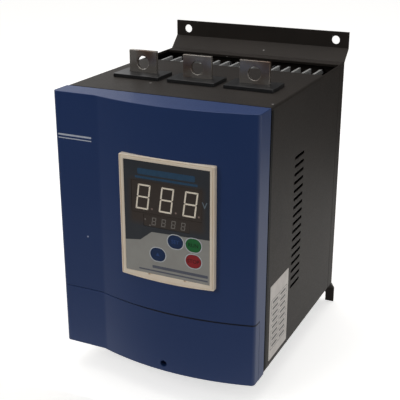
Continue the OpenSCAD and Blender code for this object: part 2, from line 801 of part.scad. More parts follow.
// Ribbon from a header on the keypad board to a header on the control board
module display_lead() color("#8a8a8a") in_case() {
    half = lead_plug / 2;
    upper = unit_z + lead_rise;
    lower = unit_z - lead_fall;
    start_y = keypad_y + pcb_t;
    front_y = (unit_back_y + board_front - lead_t) / 2;
    back_y = front_y + lead_t;
    along_x(unit_x - lead_w / 2, unit_x + lead_w / 2) polygon([
        [start_y, upper - half], [start_y, upper + half], [back_y, upper + half], [back_y, lower + half],
        [board_front, lower + half], [board_front, lower - half], [front_y, lower - half],
        [front_y, upper - half]]);
}

// Bar from a module's terminal at height z to its tab at height end, with the lug's hole at lug
module bar(i, z, end, lug) difference() {
    low = min(z - terminal_h / 2, end);
    high = max(z + terminal_h / 2, end);
    box([phase_x(i) - bar_w / 2, bar_front, low], [phase_x(i) + bar_w / 2, bar_back, high]);
    rod_y(phase_x(i), lug, lug_d, bar_front - cut, bar_back + cut);
    rod_y(phase_x(i), z, m6[0] + hole_play, bar_front - cut, bar_back + cut);
}

module line_bar(i) color(copper_tinned) in_case()
    bar(i, module_z + terminal_step, case_h + tab_h, case_h + lug_rise);
module load_bar(i) color(copper_tinned) in_case() bar(i, module_z - terminal_step, -tab_h, -lug_rise);

// Way for a bar through a pad or a current transformer
module bar_way(z0, z1) along_z(z0, z1) translate([0, bar_y])
    square([bar_w + 2 * bar_play, bar_t + 2 * bar_play], center = true);

// Insulating pad that lies on a plate's outer face at z = 0, with its collar through the plate
module pad(i) translate([phase_x(i), 0, 0]) difference() {
    half = bar_w / 2 + collar_margin;
    union() {
        along_z(0, pad_t) polygon(round_rect([0, bar_front + pad_back - pad_d / 2], pad_w, pad_d, pad_r));
        box([-half, bar_front - collar_margin, -sheet_t], [half, bar_back + collar_margin, eps]);
    }
    bar_way(-sheet_t - cut, pad_t + cut);
}

module line_pad(i) color(plastic_black) in_case() translate([0, 0, case_h]) pad(i);
module load_pad(i) color(plastic_black) in_case() translate([0, 0, -sheet_t]) mirror([0, 0, 1]) pad(i);

module bar_screws() color(steel_zinc) in_case()
    for (i = [1:3], s = [-1, 1])
        screw_y(phase_x(i), bar_front, module_z + s * terminal_step, m6, bar_screw_l, 1);

module heat_sink() color("#a9abad") in_case() difference() {
    along_z(sink_clear, sink_clear + sink_h) {
        translate([-sink_w / 2, sink_y]) square([sink_w, sink_base]);
        for (x = spread(fin_n, (fin_n - 1) * fin_pitch))
            translate([x - fin_t / 2, fin_y - eps]) square([fin_t, fin_l + eps]);
    }
    holes_y([for (i = [1:3], z = module_screw_z) [phase_x(i), z]],
            m6[0] + hole_play, sink_y - cut, sink_y + sink_tap);
    holes_y([for (s = [-1, 1], z = angle_screw_z) [s * angle_screw_x, z]],
            m5[0] + hole_play, sink_y - cut, sink_y + sink_tap);
}

// Angle that ties the heat sink's base to a side of the case
module heat_sink_angle(s) color(steel_zinc) in_case() on_side(s) difference() {
    along_z(angle_inset, case_h - angle_inset) {
        translate([inner_w - angle_w, sink_y - angle_t]) square([angle_w, angle_t]);
        translate([inner_w - angle_t, sink_y - angle_t]) square([angle_t, angle_leg]);
    }
    holes_y([for (z = angle_screw_z) [angle_screw_x, z]],
            m5[0] + hole_play, sink_y - angle_t - cut, sink_y + cut);
}

module heat_sink_screws() color(steel_zinc) in_case()
    for (s = [-1, 1], z = angle_screw_z) screw_y(s * angle_screw_x, sink_y - angle_t, z, m5, sink_screw_l, 1);

// Thyristor module: a metal base with two ears, a moulded body and two raised terminals
module thyristor_module(i) color("#3a3a3c") in_case() translate([phase_x(i), 0, module_z]) difference() {
    body_y = bar_back + module_post;
    base_y = sink_y - module_base;
    raised_h = terminal_h - 2 * terminal_trim;
    union() {
        along_y(base_y, sink_y) polygon(round_rect([0, 0], module_w, module_h, module_r));
        along_y(body_y, base_y + eps)
            square([module_w - 2 * module_inset, module_h - 2 * module_ear], center = true);
        for (s = [-1, 1]) along_y(bar_back, body_y + eps) translate([0, s * terminal_step])
            square([terminal_h, raised_h], center = true);
    }
    holes_y([for (s = [-1, 1]) [0, s * terminal_step]],
            m6[0] + hole_play, bar_back - cut, bar_back + terminal_tap);
    holes_y([for (z = module_screw_z) [0, z - module_z]], m6[0] + hole_play, body_y, sink_y + cut);
}

module module_screws() color(steel_zinc) in_case()
    for (i = [1:3], z = module_screw_z) screw_y(phase_x(i), sink_y - module_base, z, m6, module_screw_l, 1);

module thermal_switch() color("#c9c4b8") in_case() {
    x = phase_x(1) + phase_pitch / 2;
    face_y = sink_y - thermal_h;
    rod_y(x, module_z, thermal_d, face_y, sink_y);
    for (s = [-1, 1]) along_y(face_y - blade_h, face_y + eps)
        translate([x + s * thermal_d / 4, module_z]) square([blade_t, blade_w], center = true);
}

// Current transformer that stands on the bottom plate round a load bar
module current_transformer(i) color("#20304a") in_case() translate([phase_x(i), 0, 0]) difference() {
    along_z(0, ct_h) polygon(round_rect([0, bar_y], bar_w + 2 * ct_side, bar_t + 2 * ct_end, ct_r));
    bar_way(-cut, ct_h + cut);
}

module control_board() color(board_green) in_case() difference() {
    box([-board_w / 2, board_front, board_z], [board_w / 2, board_y, board_z + board_h]);
    holes_y(board_points, m3[0] + hole_play, board_front - cut, board_y + cut);
}

module board_spacers() color("#d0c090") in_case() difference() {
    for (p = board_points) rod_y(p[0], p[1], spacer_d, board_y, chassis_y);
    holes_y(board_points, m3[0] + hole_play, board_y - cut, 0);
}

module board_screws() color(steel_zinc) in_case()
    for (p = board_points) screw_y(p[0], board_front, p[1], m3, board_screw_end - board_front, 1);

module control_terminal_block() color("#3f7a4a") in_case() difference() {
    half = way_n * way_pitch / 2 + block_end;
    low = board_z + block_rise;
    high = low + block_h;
    way_w = way_pitch * way_share;
    along_x(-half, half) polygon([
        [board_front, low], [board_front, high], [block_y + block_slope[0], high],
        [block_y, high - block_slope[1]], [block_y, low]]);
    for (x = spread(way_n, (way_n - 1) * way_pitch)) {
        box([x - way_w / 2, block_y + way_wall, low - cut], [x + way_w / 2, block_y + way_deep, low + way_h]);
        rod_y(x, low + way_screw_z, way_pitch * way_screw_share, block_y - cut, block_y + way_screw_deep);
    }
}

// Block of a size [width, depth, height] on the control board, with its lower left corner at x, z
module on_board(x, z, size) translate([x, board_front - size[1], z]) cube(size);

module relays() color("#1f4f9a") in_case()
    for (k = [0:2]) on_board(board_left, board_mid - relay_drop + relay_pitch * k, relay);

module pulse_transformers() color("#2a2a2c") in_case() for (column = [0, 1], row = [0:2])
    on_board(board_left + pulse_in + pulse_pitch[0] * column,
             board_mid - pulse_drop + pulse_pitch[1] * row, pulse);

module capacitors() color("#23355e") in_case() for (k = [1:4])
    rod_y(board_left + capacitor_pitch * k, board_z + capacitor_z, capacitor_d,
          board_front - capacitor_h, board_front);

module supply_transformer() color("#4a4138") in_case() translate([bulge_x, 0, board_z + core_z]) {
    on_board(-core[0] / 2, (coil[2] - core[2]) / 2, core);
    translate([0, (coil[1] - core[1]) / 2, 0]) on_board(-coil[0] / 2, 0, coil);
}

case_wrap();
rear_tray();
bottom_plate();
bottom_plate_screws();
upper_bracket();
lower_bracket();
bracket_screws();
chassis_plate();
chassis_screws();
front_cover();
front_cover_screws();
terminal_cover();
terminal_cover_screw();
display_housing();
display_back();
overlay_panel();
large_display();
small_display();
key(0, "#24406f");  // key_set
key(1, "#24406f");  // key_shift
key(2, "#1f7a3a");  // key_run
key(3, "#a02028");  // key_stop
key_switches();
keypad_board();
keypad_screws();
display_lead();
line_bar(1);  // line_bar_1
line_bar(2);  // line_bar_2
line_bar(3);  // line_bar_3
load_bar(1);  // load_bar_1
load_bar(2);  // load_bar_2
load_bar(3);  // load_bar_3
line_pad(1);  // line_pad_1
line_pad(2);  // line_pad_2
line_pad(3);  // line_pad_3
load_pad(1);  // load_pad_1
load_pad(2);  // load_pad_2
load_pad(3);  // load_pad_3
bar_screws();
heat_sink();
heat_sink_angle(-1);  // heat_sink_angle_left
heat_sink_angle(1);  // heat_sink_angle_right
heat_sink_screws();
thyristor_module(1);  // thyristor_module_1
thyristor_module(2);  // thyristor_module_2
thyristor_module(3);  // thyristor_module_3
module_screws();
thermal_switch();
current_transformer(1);  // current_transformer_1
current_transformer(2);  // current_transformer_2
current_transformer(3);  // current_transformer_3
control_board();
board_spacers();
board_screws();
control_terminal_block();
relays();
pulse_transformers();
capacitors();
supply_transformer();
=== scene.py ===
# %% [markdown]
# # Dressing a three-phase soft starter
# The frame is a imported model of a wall-mounted motor starter: a folded black case, a moulded blue
# front, a cream display unit and three tinned copper terminals on top. Its pieces already have
# their size and place. This lesson gives them eased edges, finishes and print, and lights them as
# for a catalogue picture. Everything is in metres, in the frame's own axes: X to the right, Y into
# the wall, Z up.

# %% Load the frame
import json
import math
import bmesh
import bpy
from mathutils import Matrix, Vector

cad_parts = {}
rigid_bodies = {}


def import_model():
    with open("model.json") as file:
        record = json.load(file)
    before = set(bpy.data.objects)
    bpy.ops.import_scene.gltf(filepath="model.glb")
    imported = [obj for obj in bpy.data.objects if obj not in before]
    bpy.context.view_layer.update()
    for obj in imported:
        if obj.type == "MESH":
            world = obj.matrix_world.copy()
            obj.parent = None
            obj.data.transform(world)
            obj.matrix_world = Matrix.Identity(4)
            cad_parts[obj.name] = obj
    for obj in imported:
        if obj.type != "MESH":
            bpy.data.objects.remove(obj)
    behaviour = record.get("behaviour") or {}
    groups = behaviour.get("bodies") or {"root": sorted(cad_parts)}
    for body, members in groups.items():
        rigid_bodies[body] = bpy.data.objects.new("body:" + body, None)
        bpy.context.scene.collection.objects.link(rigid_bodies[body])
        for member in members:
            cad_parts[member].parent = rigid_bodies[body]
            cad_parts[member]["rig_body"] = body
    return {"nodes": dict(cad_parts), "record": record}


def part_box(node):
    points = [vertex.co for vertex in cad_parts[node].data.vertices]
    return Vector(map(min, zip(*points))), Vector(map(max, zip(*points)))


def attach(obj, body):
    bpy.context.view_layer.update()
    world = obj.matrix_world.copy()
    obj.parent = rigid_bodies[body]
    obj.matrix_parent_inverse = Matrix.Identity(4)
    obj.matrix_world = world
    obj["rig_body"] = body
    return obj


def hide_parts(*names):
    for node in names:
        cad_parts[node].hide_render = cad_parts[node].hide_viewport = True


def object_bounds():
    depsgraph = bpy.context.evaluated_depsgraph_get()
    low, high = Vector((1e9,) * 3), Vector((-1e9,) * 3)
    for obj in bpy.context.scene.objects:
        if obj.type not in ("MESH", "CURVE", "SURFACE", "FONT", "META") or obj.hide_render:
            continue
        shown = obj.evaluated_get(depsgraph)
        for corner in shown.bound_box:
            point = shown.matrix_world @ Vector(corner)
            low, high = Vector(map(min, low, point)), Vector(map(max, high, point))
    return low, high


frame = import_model()
cad_lo, cad_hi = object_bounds()
cad_mid = (cad_lo + cad_hi) / 2
bpy.ops.object.select_all(action="DESELECT")
MM = 0.001
print("frame:", len(frame["nodes"]), "nodes, size in mm", [round(s / MM, 1) for s in cad_hi - cad_lo])

# %% [markdown]
# ## Camera
# The picture is taken from the right and a little above, with a lens that is long enough to keep
# the upright edges nearly parallel. The place and the lens were found by matching the case's
# corners, so they are plain values here.

# %% Make the camera
CAMERA_PLACE = (0.3524, -0.8958, 0.1606)
CAMERA_DOWN = math.radians(20.48)
CAMERA_TURN = math.radians(25.46)
CAMERA_LENS = 77.09
CAMERA_SENSOR = 36

scene = bpy.context.scene
bpy.ops.object.camera_add(location=CAMERA_PLACE, rotation=(math.pi / 2 - CAMERA_DOWN, 0, CAMERA_TURN))
camera = bpy.context.object
camera.data.lens = CAMERA_LENS
camera.data.sensor_width = CAMERA_SENSOR
scene.camera = camera
scene.view_settings.view_transform = "Standard"
print("camera lens", camera.data.lens, "mm")

# %% [markdown]
# ## Colours and nodes
# Colours are written as the sRGB hex values that a colour picker shows. Shaders work in linear
# light, so one function turns them. A second small function adds a node, sets it and links it, so
# that each finish below reads as a list of what it is made of.

# %% Define the colour and node helpers
FACTOR, COLOUR_A, COLOUR_B, COLOUR_OUT = 0, 6, 7, 2


def linear(hex_colour):
    """Linear RGBA of an sRGB hex colour."""
    parts = [int(hex_colour[i:i + 2], 16) / 255 for i in (1, 3, 5)]
    return [c / 12.92 if c <= 0.04045 else ((c + 0.055) / 1.055) ** 2.4 for c in parts] + [1.0]


def add(tree, kind, sockets=None, **settings):
    """Adds a node, sets its properties, and sets or links its input sockets."""
    node = tree.nodes.new(kind)
    for name, value in settings.items():
        setattr(node, name, value)
    for name, value in (sockets or {}).items():
        if isinstance(value, bpy.types.NodeSocket):
            tree.links.new(value, node.inputs[name])
        else:
            node.inputs[name].default_value = value
    return node


def per(size_mm):
    """Texture scale that gives a pattern its real size, in millimetres."""
    return 1 / (size_mm * MM)


print("white in linear light:", linear("#ffffff"))

# %% [markdown]
# ## Paper floor
# The starter stands in front of white paper, which is a plain diffuse floor. The paper has some light
# of its own for the camera, so that it comes out white and still keeps a soft shadow, and a little
# less of it in reflections.

# %% Lay the paper floor
FLOOR_SIZE = 14
PAPER_GLOW = 0.62
PAPER_MIRRORED = 0.5

bpy.ops.mesh.primitive_plane_add(size=FLOOR_SIZE, location=(0, 0, cad_lo.z))
floor = bpy.context.object
floor.name = "paper_floor"
paper = bpy.data.materials.new("matt_white_paper")
paper.use_nodes = True
tree = paper.node_tree
tree.nodes.clear()
rays = add(tree, "ShaderNodeLightPath")
mirrored = add(tree, "ShaderNodeMath", {0: rays.outputs["Is Glossy Ray"],
                                        1: rays.outputs["Is Transmission Ray"]}, operation="ADD")
mirrored = add(tree, "ShaderNodeMath", {0: mirrored.outputs[0], 1: PAPER_MIRRORED}, operation="MULTIPLY")
glow = add(tree, "ShaderNodeMath", {0: rays.outputs["Is Camera Ray"], 1: PAPER_GLOW, 2: mirrored.outputs[0]},
           operation="MULTIPLY_ADD")
matt = add(tree, "ShaderNodeBsdfDiffuse", {"Color": linear("#eceae6")})
light = add(tree, "ShaderNodeEmission", {"Color": linear("#ffffff"), "Strength": glow.outputs[0]})
both = add(tree, "ShaderNodeAddShader", {0: matt.outputs[0], 1: light.outputs[0]})
add(tree, "ShaderNodeOutputMaterial", {"Surface": both.outputs[0]})
floor.data.materials.append(paper)
print("floor at z", round(cad_lo.z, 4))

# %% [markdown]
# ## White room
# The world is white to the camera and in reflections, and weaker as a lamp, so that the object isn't
# washed out.

# %% Light the room
AMBIENT = 0.42

world = bpy.data.worlds.new("white_room")
scene.world = world
world.use_nodes = True
tree = world.node_tree
tree.nodes.clear()
rays = add(tree, "ShaderNodeLightPath")
seen = add(tree, "ShaderNodeMath", {0: rays.outputs["Is Camera Ray"], 1: rays.outputs["Is Glossy Ray"]},
           operation="MAXIMUM")
seen = add(tree, "ShaderNodeMath", {0: seen.outputs[0], 1: rays.outputs["Is Transmission Ray"]},
           operation="MAXIMUM")
level = add(tree, "ShaderNodeMapRange", {"Value": seen.outputs[0], "To Min": AMBIENT, "To Max": 1.0})
room = add(tree, "ShaderNodeBackground", {"Color": linear("#ffffff"), "Strength": level.outputs[0]})
add(tree, "ShaderNodeOutputWorld", {"Surface": room.outputs[0]})
print("the room as a lamp:", AMBIENT)

# %% [markdown]
# ## Selecting in edit mode
# An operator works on what is selected. By hand that takes clicks, and in a script it takes a test:
# this helper selects the points, edges or faces that pass one, and says how many there are.

# %% Define how to select
SELECT_MODES = {"verts": "VERT", "edges": "EDGE", "faces": "FACE"}


def pick(piece, kind, wanted):
    """In edit mode, selects only the verts, edges or faces that pass a test, and counts them."""
    bpy.ops.mesh.select_mode(type=SELECT_MODES[kind])
    bpy.ops.mesh.select_all(action="DESELECT")
    shape = bmesh.from_edit_mesh(piece.data)
    chosen = [part for part in getattr(shape, kind) if wanted(part)]
    for part in chosen:
        part.select_set(True)
    bmesh.update_edit_mesh(piece.data)
    return len(chosen)


print("what can be selected:", ", ".join(SELECT_MODES))

# %% [markdown]
# ## Dark card in front
# A photographer keeps glare off a satin front with a dark card that lies below and stands behind the
# camera: the front then mirrors the card and shows its own colour. The card is a plane whose far
# and left edges are extruded upwards. It is sprayed from black, far off, to pale grey, near the object,
# and a little lighter on the left, so that the front grows lighter downwards and towards its flat
# wing. It isn't part of the object: the camera doesn't see it, and it throws no shadow on the paper.

# %% Fold the dark card
CARD_NEAR = -0.3
CARD_FAR = -2.4
CARD_RIGHT = 1.5
CARD_LEFT = -2.6
CARD_HIGH = 1.6
GREY_MIDDLE = (0.15, -0.2, cad_lo.z)
GREY_REACH = 0.82
GREY_NEAR = 0.7
GREY_LEFT = 0.17
LEFT_FROM = 0.05
LEFT_TO = -0.2
CARD_LIFT = 0.004

bpy.ops.mesh.primitive_plane_add(size=1, location=((CARD_LEFT + CARD_RIGHT) / 2, (CARD_NEAR + CARD_FAR) / 2,
                                                   cad_lo.z + CARD_LIFT))
card = bpy.context.object
card.name = "dark_card"
card.scale = (CARD_RIGHT - CARD_LEFT, CARD_NEAR - CARD_FAR, 1)
bpy.ops.object.transform_apply(location=True, scale=True)
bpy.ops.object.mode_set(mode="EDIT")
pick(card, "edges", lambda e: all(abs(v.co.y - CARD_FAR) < MM for v in e.verts)
     or all(abs(v.co.x - CARD_LEFT) < MM for v in e.verts))
bpy.ops.mesh.extrude_region_move(TRANSFORM_OT_translate={"value": (0, 0, CARD_HIGH)})
bpy.ops.object.mode_set(mode="OBJECT")
felt = bpy.data.materials.new("sprayed_felt_card")
felt.use_nodes = True
tree = felt.node_tree
shader = tree.nodes["Principled BSDF"]
shader.inputs["Roughness"].default_value = 1.0
place = add(tree, "ShaderNodeTexCoord")
away = add(tree, "ShaderNodeVectorMath", {0: place.outputs["Object"], 1: GREY_MIDDLE}, operation="DISTANCE")
near = add(tree, "ShaderNodeMapRange", {"Value": away.outputs["Value"], "From Min": GREY_REACH,
                                        "From Max": 0.0, "To Max": GREY_NEAR})
across = add(tree, "ShaderNodeSeparateXYZ", {0: place.outputs["Object"]})
left = add(tree, "ShaderNodeMapRange", {"Value": across.outputs["X"], "From Min": LEFT_FROM,
                                        "From Max": LEFT_TO, "To Max": GREY_LEFT})
spray = add(tree, "ShaderNodeMath", {0: near.outputs[0], 1: left.outputs[0]}, operation="ADD")
shade = add(tree, "ShaderNodeMix", {FACTOR: spray.outputs[0], COLOUR_A: linear("#080809"),
                                    COLOUR_B: linear("#ffffff")}, data_type="RGBA")
tree.links.new(shade.outputs[COLOUR_OUT], shader.inputs["Base Color"])
card.data.materials.append(felt)
card.visible_camera = False
card.visible_shadow = False
print("card faces:", len(card.data.polygons))

# %% [markdown]
# ## Grey flag behind
# White paper behind would turn the black top and side grey. A grey flag stands behind on the right
# for the satin surfaces to mirror, and it stops short of the left, where the top keeps its sheen.
# It is seen in reflections only, so it throws no shadow on the paper. It is a plane stood upright,
# whose two upright edges are folded forward.

# %% Stand up the flag
FLAG_LEFT = -0.34
FLAG_RIGHT = 1.4
FLAG_BACK = 0.42
FLAG_HIGH = 1.1
FLAG_FOLD = 0.1

bpy.ops.object.select_all(action="DESELECT")
bpy.ops.mesh.primitive_plane_add(size=1, rotation=(math.pi / 2, 0, 0), location=(
    (FLAG_LEFT + FLAG_RIGHT) / 2, FLAG_BACK, cad_lo.z + CARD_LIFT + FLAG_HIGH / 2))
flag = bpy.context.object
flag.name = "grey_flag"
flag.scale = (FLAG_RIGHT - FLAG_LEFT, FLAG_HIGH, 1)
bpy.ops.object.transform_apply(location=True, rotation=True, scale=True)
bpy.ops.object.mode_set(mode="EDIT")
pick(flag, "edges", lambda e: abs(e.verts[0].co.z - e.verts[1].co.z) > FLAG_HIGH / 2)
bpy.ops.mesh.extrude_region_move(TRANSFORM_OT_translate={"value": (0, -FLAG_FOLD, 0)})
bpy.ops.object.mode_set(mode="OBJECT")
board = bpy.data.materials.new("grey_foam_board")
board.use_nodes = True
board.node_tree.nodes["Principled BSDF"].inputs["Base Color"].default_value = linear("#2e2c2b")
board.node_tree.nodes["Principled BSDF"].inputs["Roughness"].default_value = 1.0
flag.data.materials.append(board)
flag.visible_camera = False
flag.visible_diffuse = False
flag.visible_shadow = False
print("flag faces:", len(flag.data.polygons))

# %% [markdown]
# ## Lamps
# One large soft box hangs above and a little behind, so the top is the lightest side, as in the
# picture. A weaker one on the right opens up the black side, and a fill at the front left lights
# the front without a glare of its own. Large lamps give soft shadows, and the level is low enough
# that a colour renders about as it is written.

# %% Hang the lamps
LAMPS = [
    ("overhead_soft_box", (-0.1, 0.1, 1.25), 1.5, 9.0, True),
    ("right_soft_box", (1.5, -0.25, 0.25), 1.1, 0.4, True),
    ("left_front_fill", (-0.8, -1.8, 0.9), 0.9, 12.0, False),
]
for name, place, size, power, mirrored in LAMPS:
    bpy.ops.object.light_add(type="AREA", location=place)
    lamp = bpy.context.object
    lamp.name = name
    lamp.data.shape = "SQUARE"
    lamp.data.size = size
    lamp.data.energy = power
    lamp.rotation_euler = (cad_mid - Vector(place)).to_track_quat("-Z", "Y").to_euler()
    lamp.visible_glossy = mirrored
    print(name, power, "W")

# %% [markdown]
# ## Starting a finish
# Every finish starts in the same way: a material with a Principled shader, whose even values are
# set on its own sockets, and the piece's object coordinates to draw patterns on. A mottle is a
# slow change between two near colours, which no real surface lacks, and a relief is a fine bump.

# %% Define how a finish starts
def start_finish(name, **even):
    """A new material, its node tree, its shader and its object coordinates."""
    finish = bpy.data.materials.new(name)
    finish.use_nodes = True
    nodes = finish.node_tree
    shader = nodes.nodes["Principled BSDF"]
    for socket, value in even.items():
        shader.inputs[socket.replace("_", " ")].default_value = value
    place = add(nodes, "ShaderNodeTexCoord").outputs["Object"]
    return finish, nodes, shader, place


def mottle(nodes, place, size_mm, first, second, low=0.35, high=0.65):
    """Colour that wanders between two hex colours over a real size."""
    noise = add(nodes, "ShaderNodeTexNoise", {"Vector": place, "Scale": per(size_mm), "Detail": 4.0})
    share = add(nodes, "ShaderNodeMapRange", {"Value": noise.outputs[0], "From Min": low, "From Max": high})
    mixed = add(nodes, "ShaderNodeMix", {FACTOR: share.outputs[0], COLOUR_A: linear(first),
                                         COLOUR_B: linear(second)}, data_type="RGBA")
    return mixed.outputs[COLOUR_OUT]


def relief(nodes, shader, place, size_mm, strength, height_mm):
    """Fine bump of a real size on a shader, and the noise that made it."""
    noise = add(nodes, "ShaderNodeTexNoise", {"Vector": place, "Scale": per(size_mm), "Detail": 2.0})
    bump = add(nodes, "ShaderNodeBump", {"Height": noise.outputs[0], "Strength": strength,
                                         "Distance": height_mm * MM})
    nodes.links.new(bump.outputs[0], shader.inputs["Normal"])
    return noise.outputs[0]


print("a millimetre's scale:", round(per(1)))

# %% [markdown]
# ## Specks, gloss and grain
# Dust lies in sparse specks, which are the middles of a few cells of a cell pattern. Gloss is never
# quite even, so the roughness follows the same noise as the bump. Most finishes need no more than two
# near colours, a grain and such a gloss, so one function puts these together. It can stretch the grain,
# as brushing or drawing does.

# %% Define specks, gloss and a grained finish
SPECK_RADIUS = 0.13
NOISE_LOW = 0.3
NOISE_HIGH = 0.7


def speckle(nodes, place, colour, dust, grain_mm, dense):
    """Lays sparse pale specks of dust over a colour."""
    cells = add(nodes, "ShaderNodeTexVoronoi", {"Vector": place, "Scale": per(grain_mm)})
    centre = add(nodes, "ShaderNodeMath", {0: cells.outputs["Distance"], 1: SPECK_RADIUS},
                 operation="LESS_THAN")
    lot = add(nodes, "ShaderNodeSeparateColor", {0: cells.outputs["Color"]})
    chosen = add(nodes, "ShaderNodeMath", {0: lot.outputs[0], 1: dense}, operation="LESS_THAN")
    speck = add(nodes, "ShaderNodeMath", {0: centre.outputs[0], 1: chosen.outputs[0]}, operation="MULTIPLY")
    mixed = add(nodes, "ShaderNodeMix", {FACTOR: speck.outputs[0], COLOUR_A: colour,
                                         COLOUR_B: linear(dust)}, data_type="RGBA")
    return mixed.outputs[COLOUR_OUT]


def vary_roughness(nodes, shader, noise, low, high):
    """Roughness that follows a noise between two values."""
    rough = add(nodes, "ShaderNodeMapRange", {"Value": noise, "From Min": NOISE_LOW, "From Max": NOISE_HIGH,
                                              "To Min": low, "To Max": high})
    nodes.links.new(rough.outputs[0], shader.inputs["Roughness"])


def grained(name, colours, mottle_mm, grain, gloss, stretch=None, wander=(0.35, 0.65), **even):
    """Finish of two near colours with a grain [size, strength, height] and a roughness [low, high]."""
    finish, nodes, shader, place = start_finish(name, **even)
    nodes.links.new(mottle(nodes, place, mottle_mm, *colours, *wander), shader.inputs["Base Color"])
    if stretch:
        place = add(nodes, "ShaderNodeMapping", {"Vector": place, "Scale": stretch}).outputs[0]
    vary_roughness(nodes, shader, relief(nodes, shader, place, *grain), *gloss)
    return finish


print("noise between", NOISE_LOW, "and", NOISE_HIGH, "sets a gloss")

# %% [markdown]
# ## Powder coat
# The case is sheet steel with a baked black polyester powder. It is satin, a little warm, and has
# a slight orange peel about a millimetre wide, which its gloss follows. Its tone is uneven over a
# hand's width, and a few specks of dust lie on it. On the wrap, shade is painted into the colour on
# the sides: a dark band along the joint with the blue cover is a painted shadow of that gap, and all
# that lies inside the sides' outer faces, the cut edges of the side slots among it, is painted dark
# as shade. Both also have their reflection dulled.

# %% Mix the powder coat
# Painted shade: depth of the dark band along the joint, and how far inside the outer face the slots' edges
# go dark, in mm.
JOINT_SHADE = 5.0
SLOT_SHADE_INSET = 0.3
SIDE_TOP = 3.0
COAT_SHEEN = "#fff6ed"
case_lo, case_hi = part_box("case_wrap")


def powder_coat(name):
    finish, nodes, shader, place = start_finish(name, Specular_IOR_Level=0.25,
                                                Specular_Tint=linear(COAT_SHEEN))
    colour = mottle(nodes, place, 70, "#201d1b", "#272320")
    colour = speckle(nodes, place, colour, "#8e8b88", 9, 0.008)
    nodes.links.new(colour, shader.inputs["Base Color"])
    peel = relief(nodes, shader, place, 1.4, 0.12, 0.05)
    vary_roughness(nodes, shader, peel, 0.54, 0.62)
    return finish, nodes, shader, place, colour


def wrap_coat():
    finish, nodes, shader, place, colour = powder_coat("black_powder_coat_with_painted_shade")
    axes = add(nodes, "ShaderNodeSeparateXYZ", {0: place})
    side = add(nodes, "ShaderNodeMath", {0: axes.outputs["Z"], 1: case_hi.z - SIDE_TOP * MM},
               operation="LESS_THAN")
    # Painted shadow: a dark band along the front edge, at the joint with the blue cover.
    joint = add(nodes, "ShaderNodeMath", {0: axes.outputs["Y"], 1: case_lo.y + JOINT_SHADE * MM},
                operation="LESS_THAN")
    # Painted shade: what lies inside the sides' outer faces, such as the slots' cut edges, goes dark.
    across = add(nodes, "ShaderNodeMath", {0: axes.outputs["X"]}, operation="ABSOLUTE")
    slot = add(nodes, "ShaderNodeMath", {0: across.outputs[0], 1: case_hi.x - SLOT_SHADE_INSET * MM},
               operation="LESS_THAN")
    either = add(nodes, "ShaderNodeMath", {0: joint.outputs[0], 1: slot.outputs[0]}, operation="MAXIMUM")
    painted_shade = add(nodes, "ShaderNodeMath", {0: either.outputs[0], 1: side.outputs[0]}, operation="MULTIPLY")
    dark = add(nodes, "ShaderNodeMix", {FACTOR: painted_shade.outputs[0], COLOUR_A: colour,
                                        COLOUR_B: linear("#040404")}, data_type="RGBA")
    nodes.links.new(dark.outputs[COLOUR_OUT], shader.inputs["Base Color"])
    # The painted shade also dulls the reflection there.
    sheen = add(nodes, "ShaderNodeMix", {FACTOR: painted_shade.outputs[0], COLOUR_A: linear(COAT_SHEEN),
                                         COLOUR_B: linear("#282624")}, data_type="RGBA")
    nodes.links.new(sheen.outputs[COLOUR_OUT], shader.inputs["Specular Tint"])
    return finish


case_coat = powder_coat("black_powder_coat_on_steel")[0]
case_coat_slotted = wrap_coat()
print(case_coat.name, case_coat_slotted.name)

# %% [markdown]
# ## Blue moulded covers
# The front is injection-moulded ABS, coloured through, with a very fine eroded texture. It has the
# gloss of a satin plastic, slightly uneven where the melt flowed, and it picks up a little dust.
# Shade is painted along the seam between the two covers: the colour goes dark close to the seam's
# height, as far back as the seam runs, as a painted shadow of that gap. The painted shade fades out
# towards the left.

# %% Mix the blue plastic
SEAM_HEIGHT = 63.0
SEAM_HALF = 0.3
# Painted shade at the seam: how far from the seam's height it reaches, how far back, and where it fades out
# to the left, in mm.
SEAM_SHADE_REACH = 1.2
SEAM_DEPTH = 22.5
SHADE_FADE_FROM = -48.0
SHADE_FADE_TO = 6.0
cover_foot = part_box("terminal_cover")[0].z
cover_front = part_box("terminal_cover")[0].y


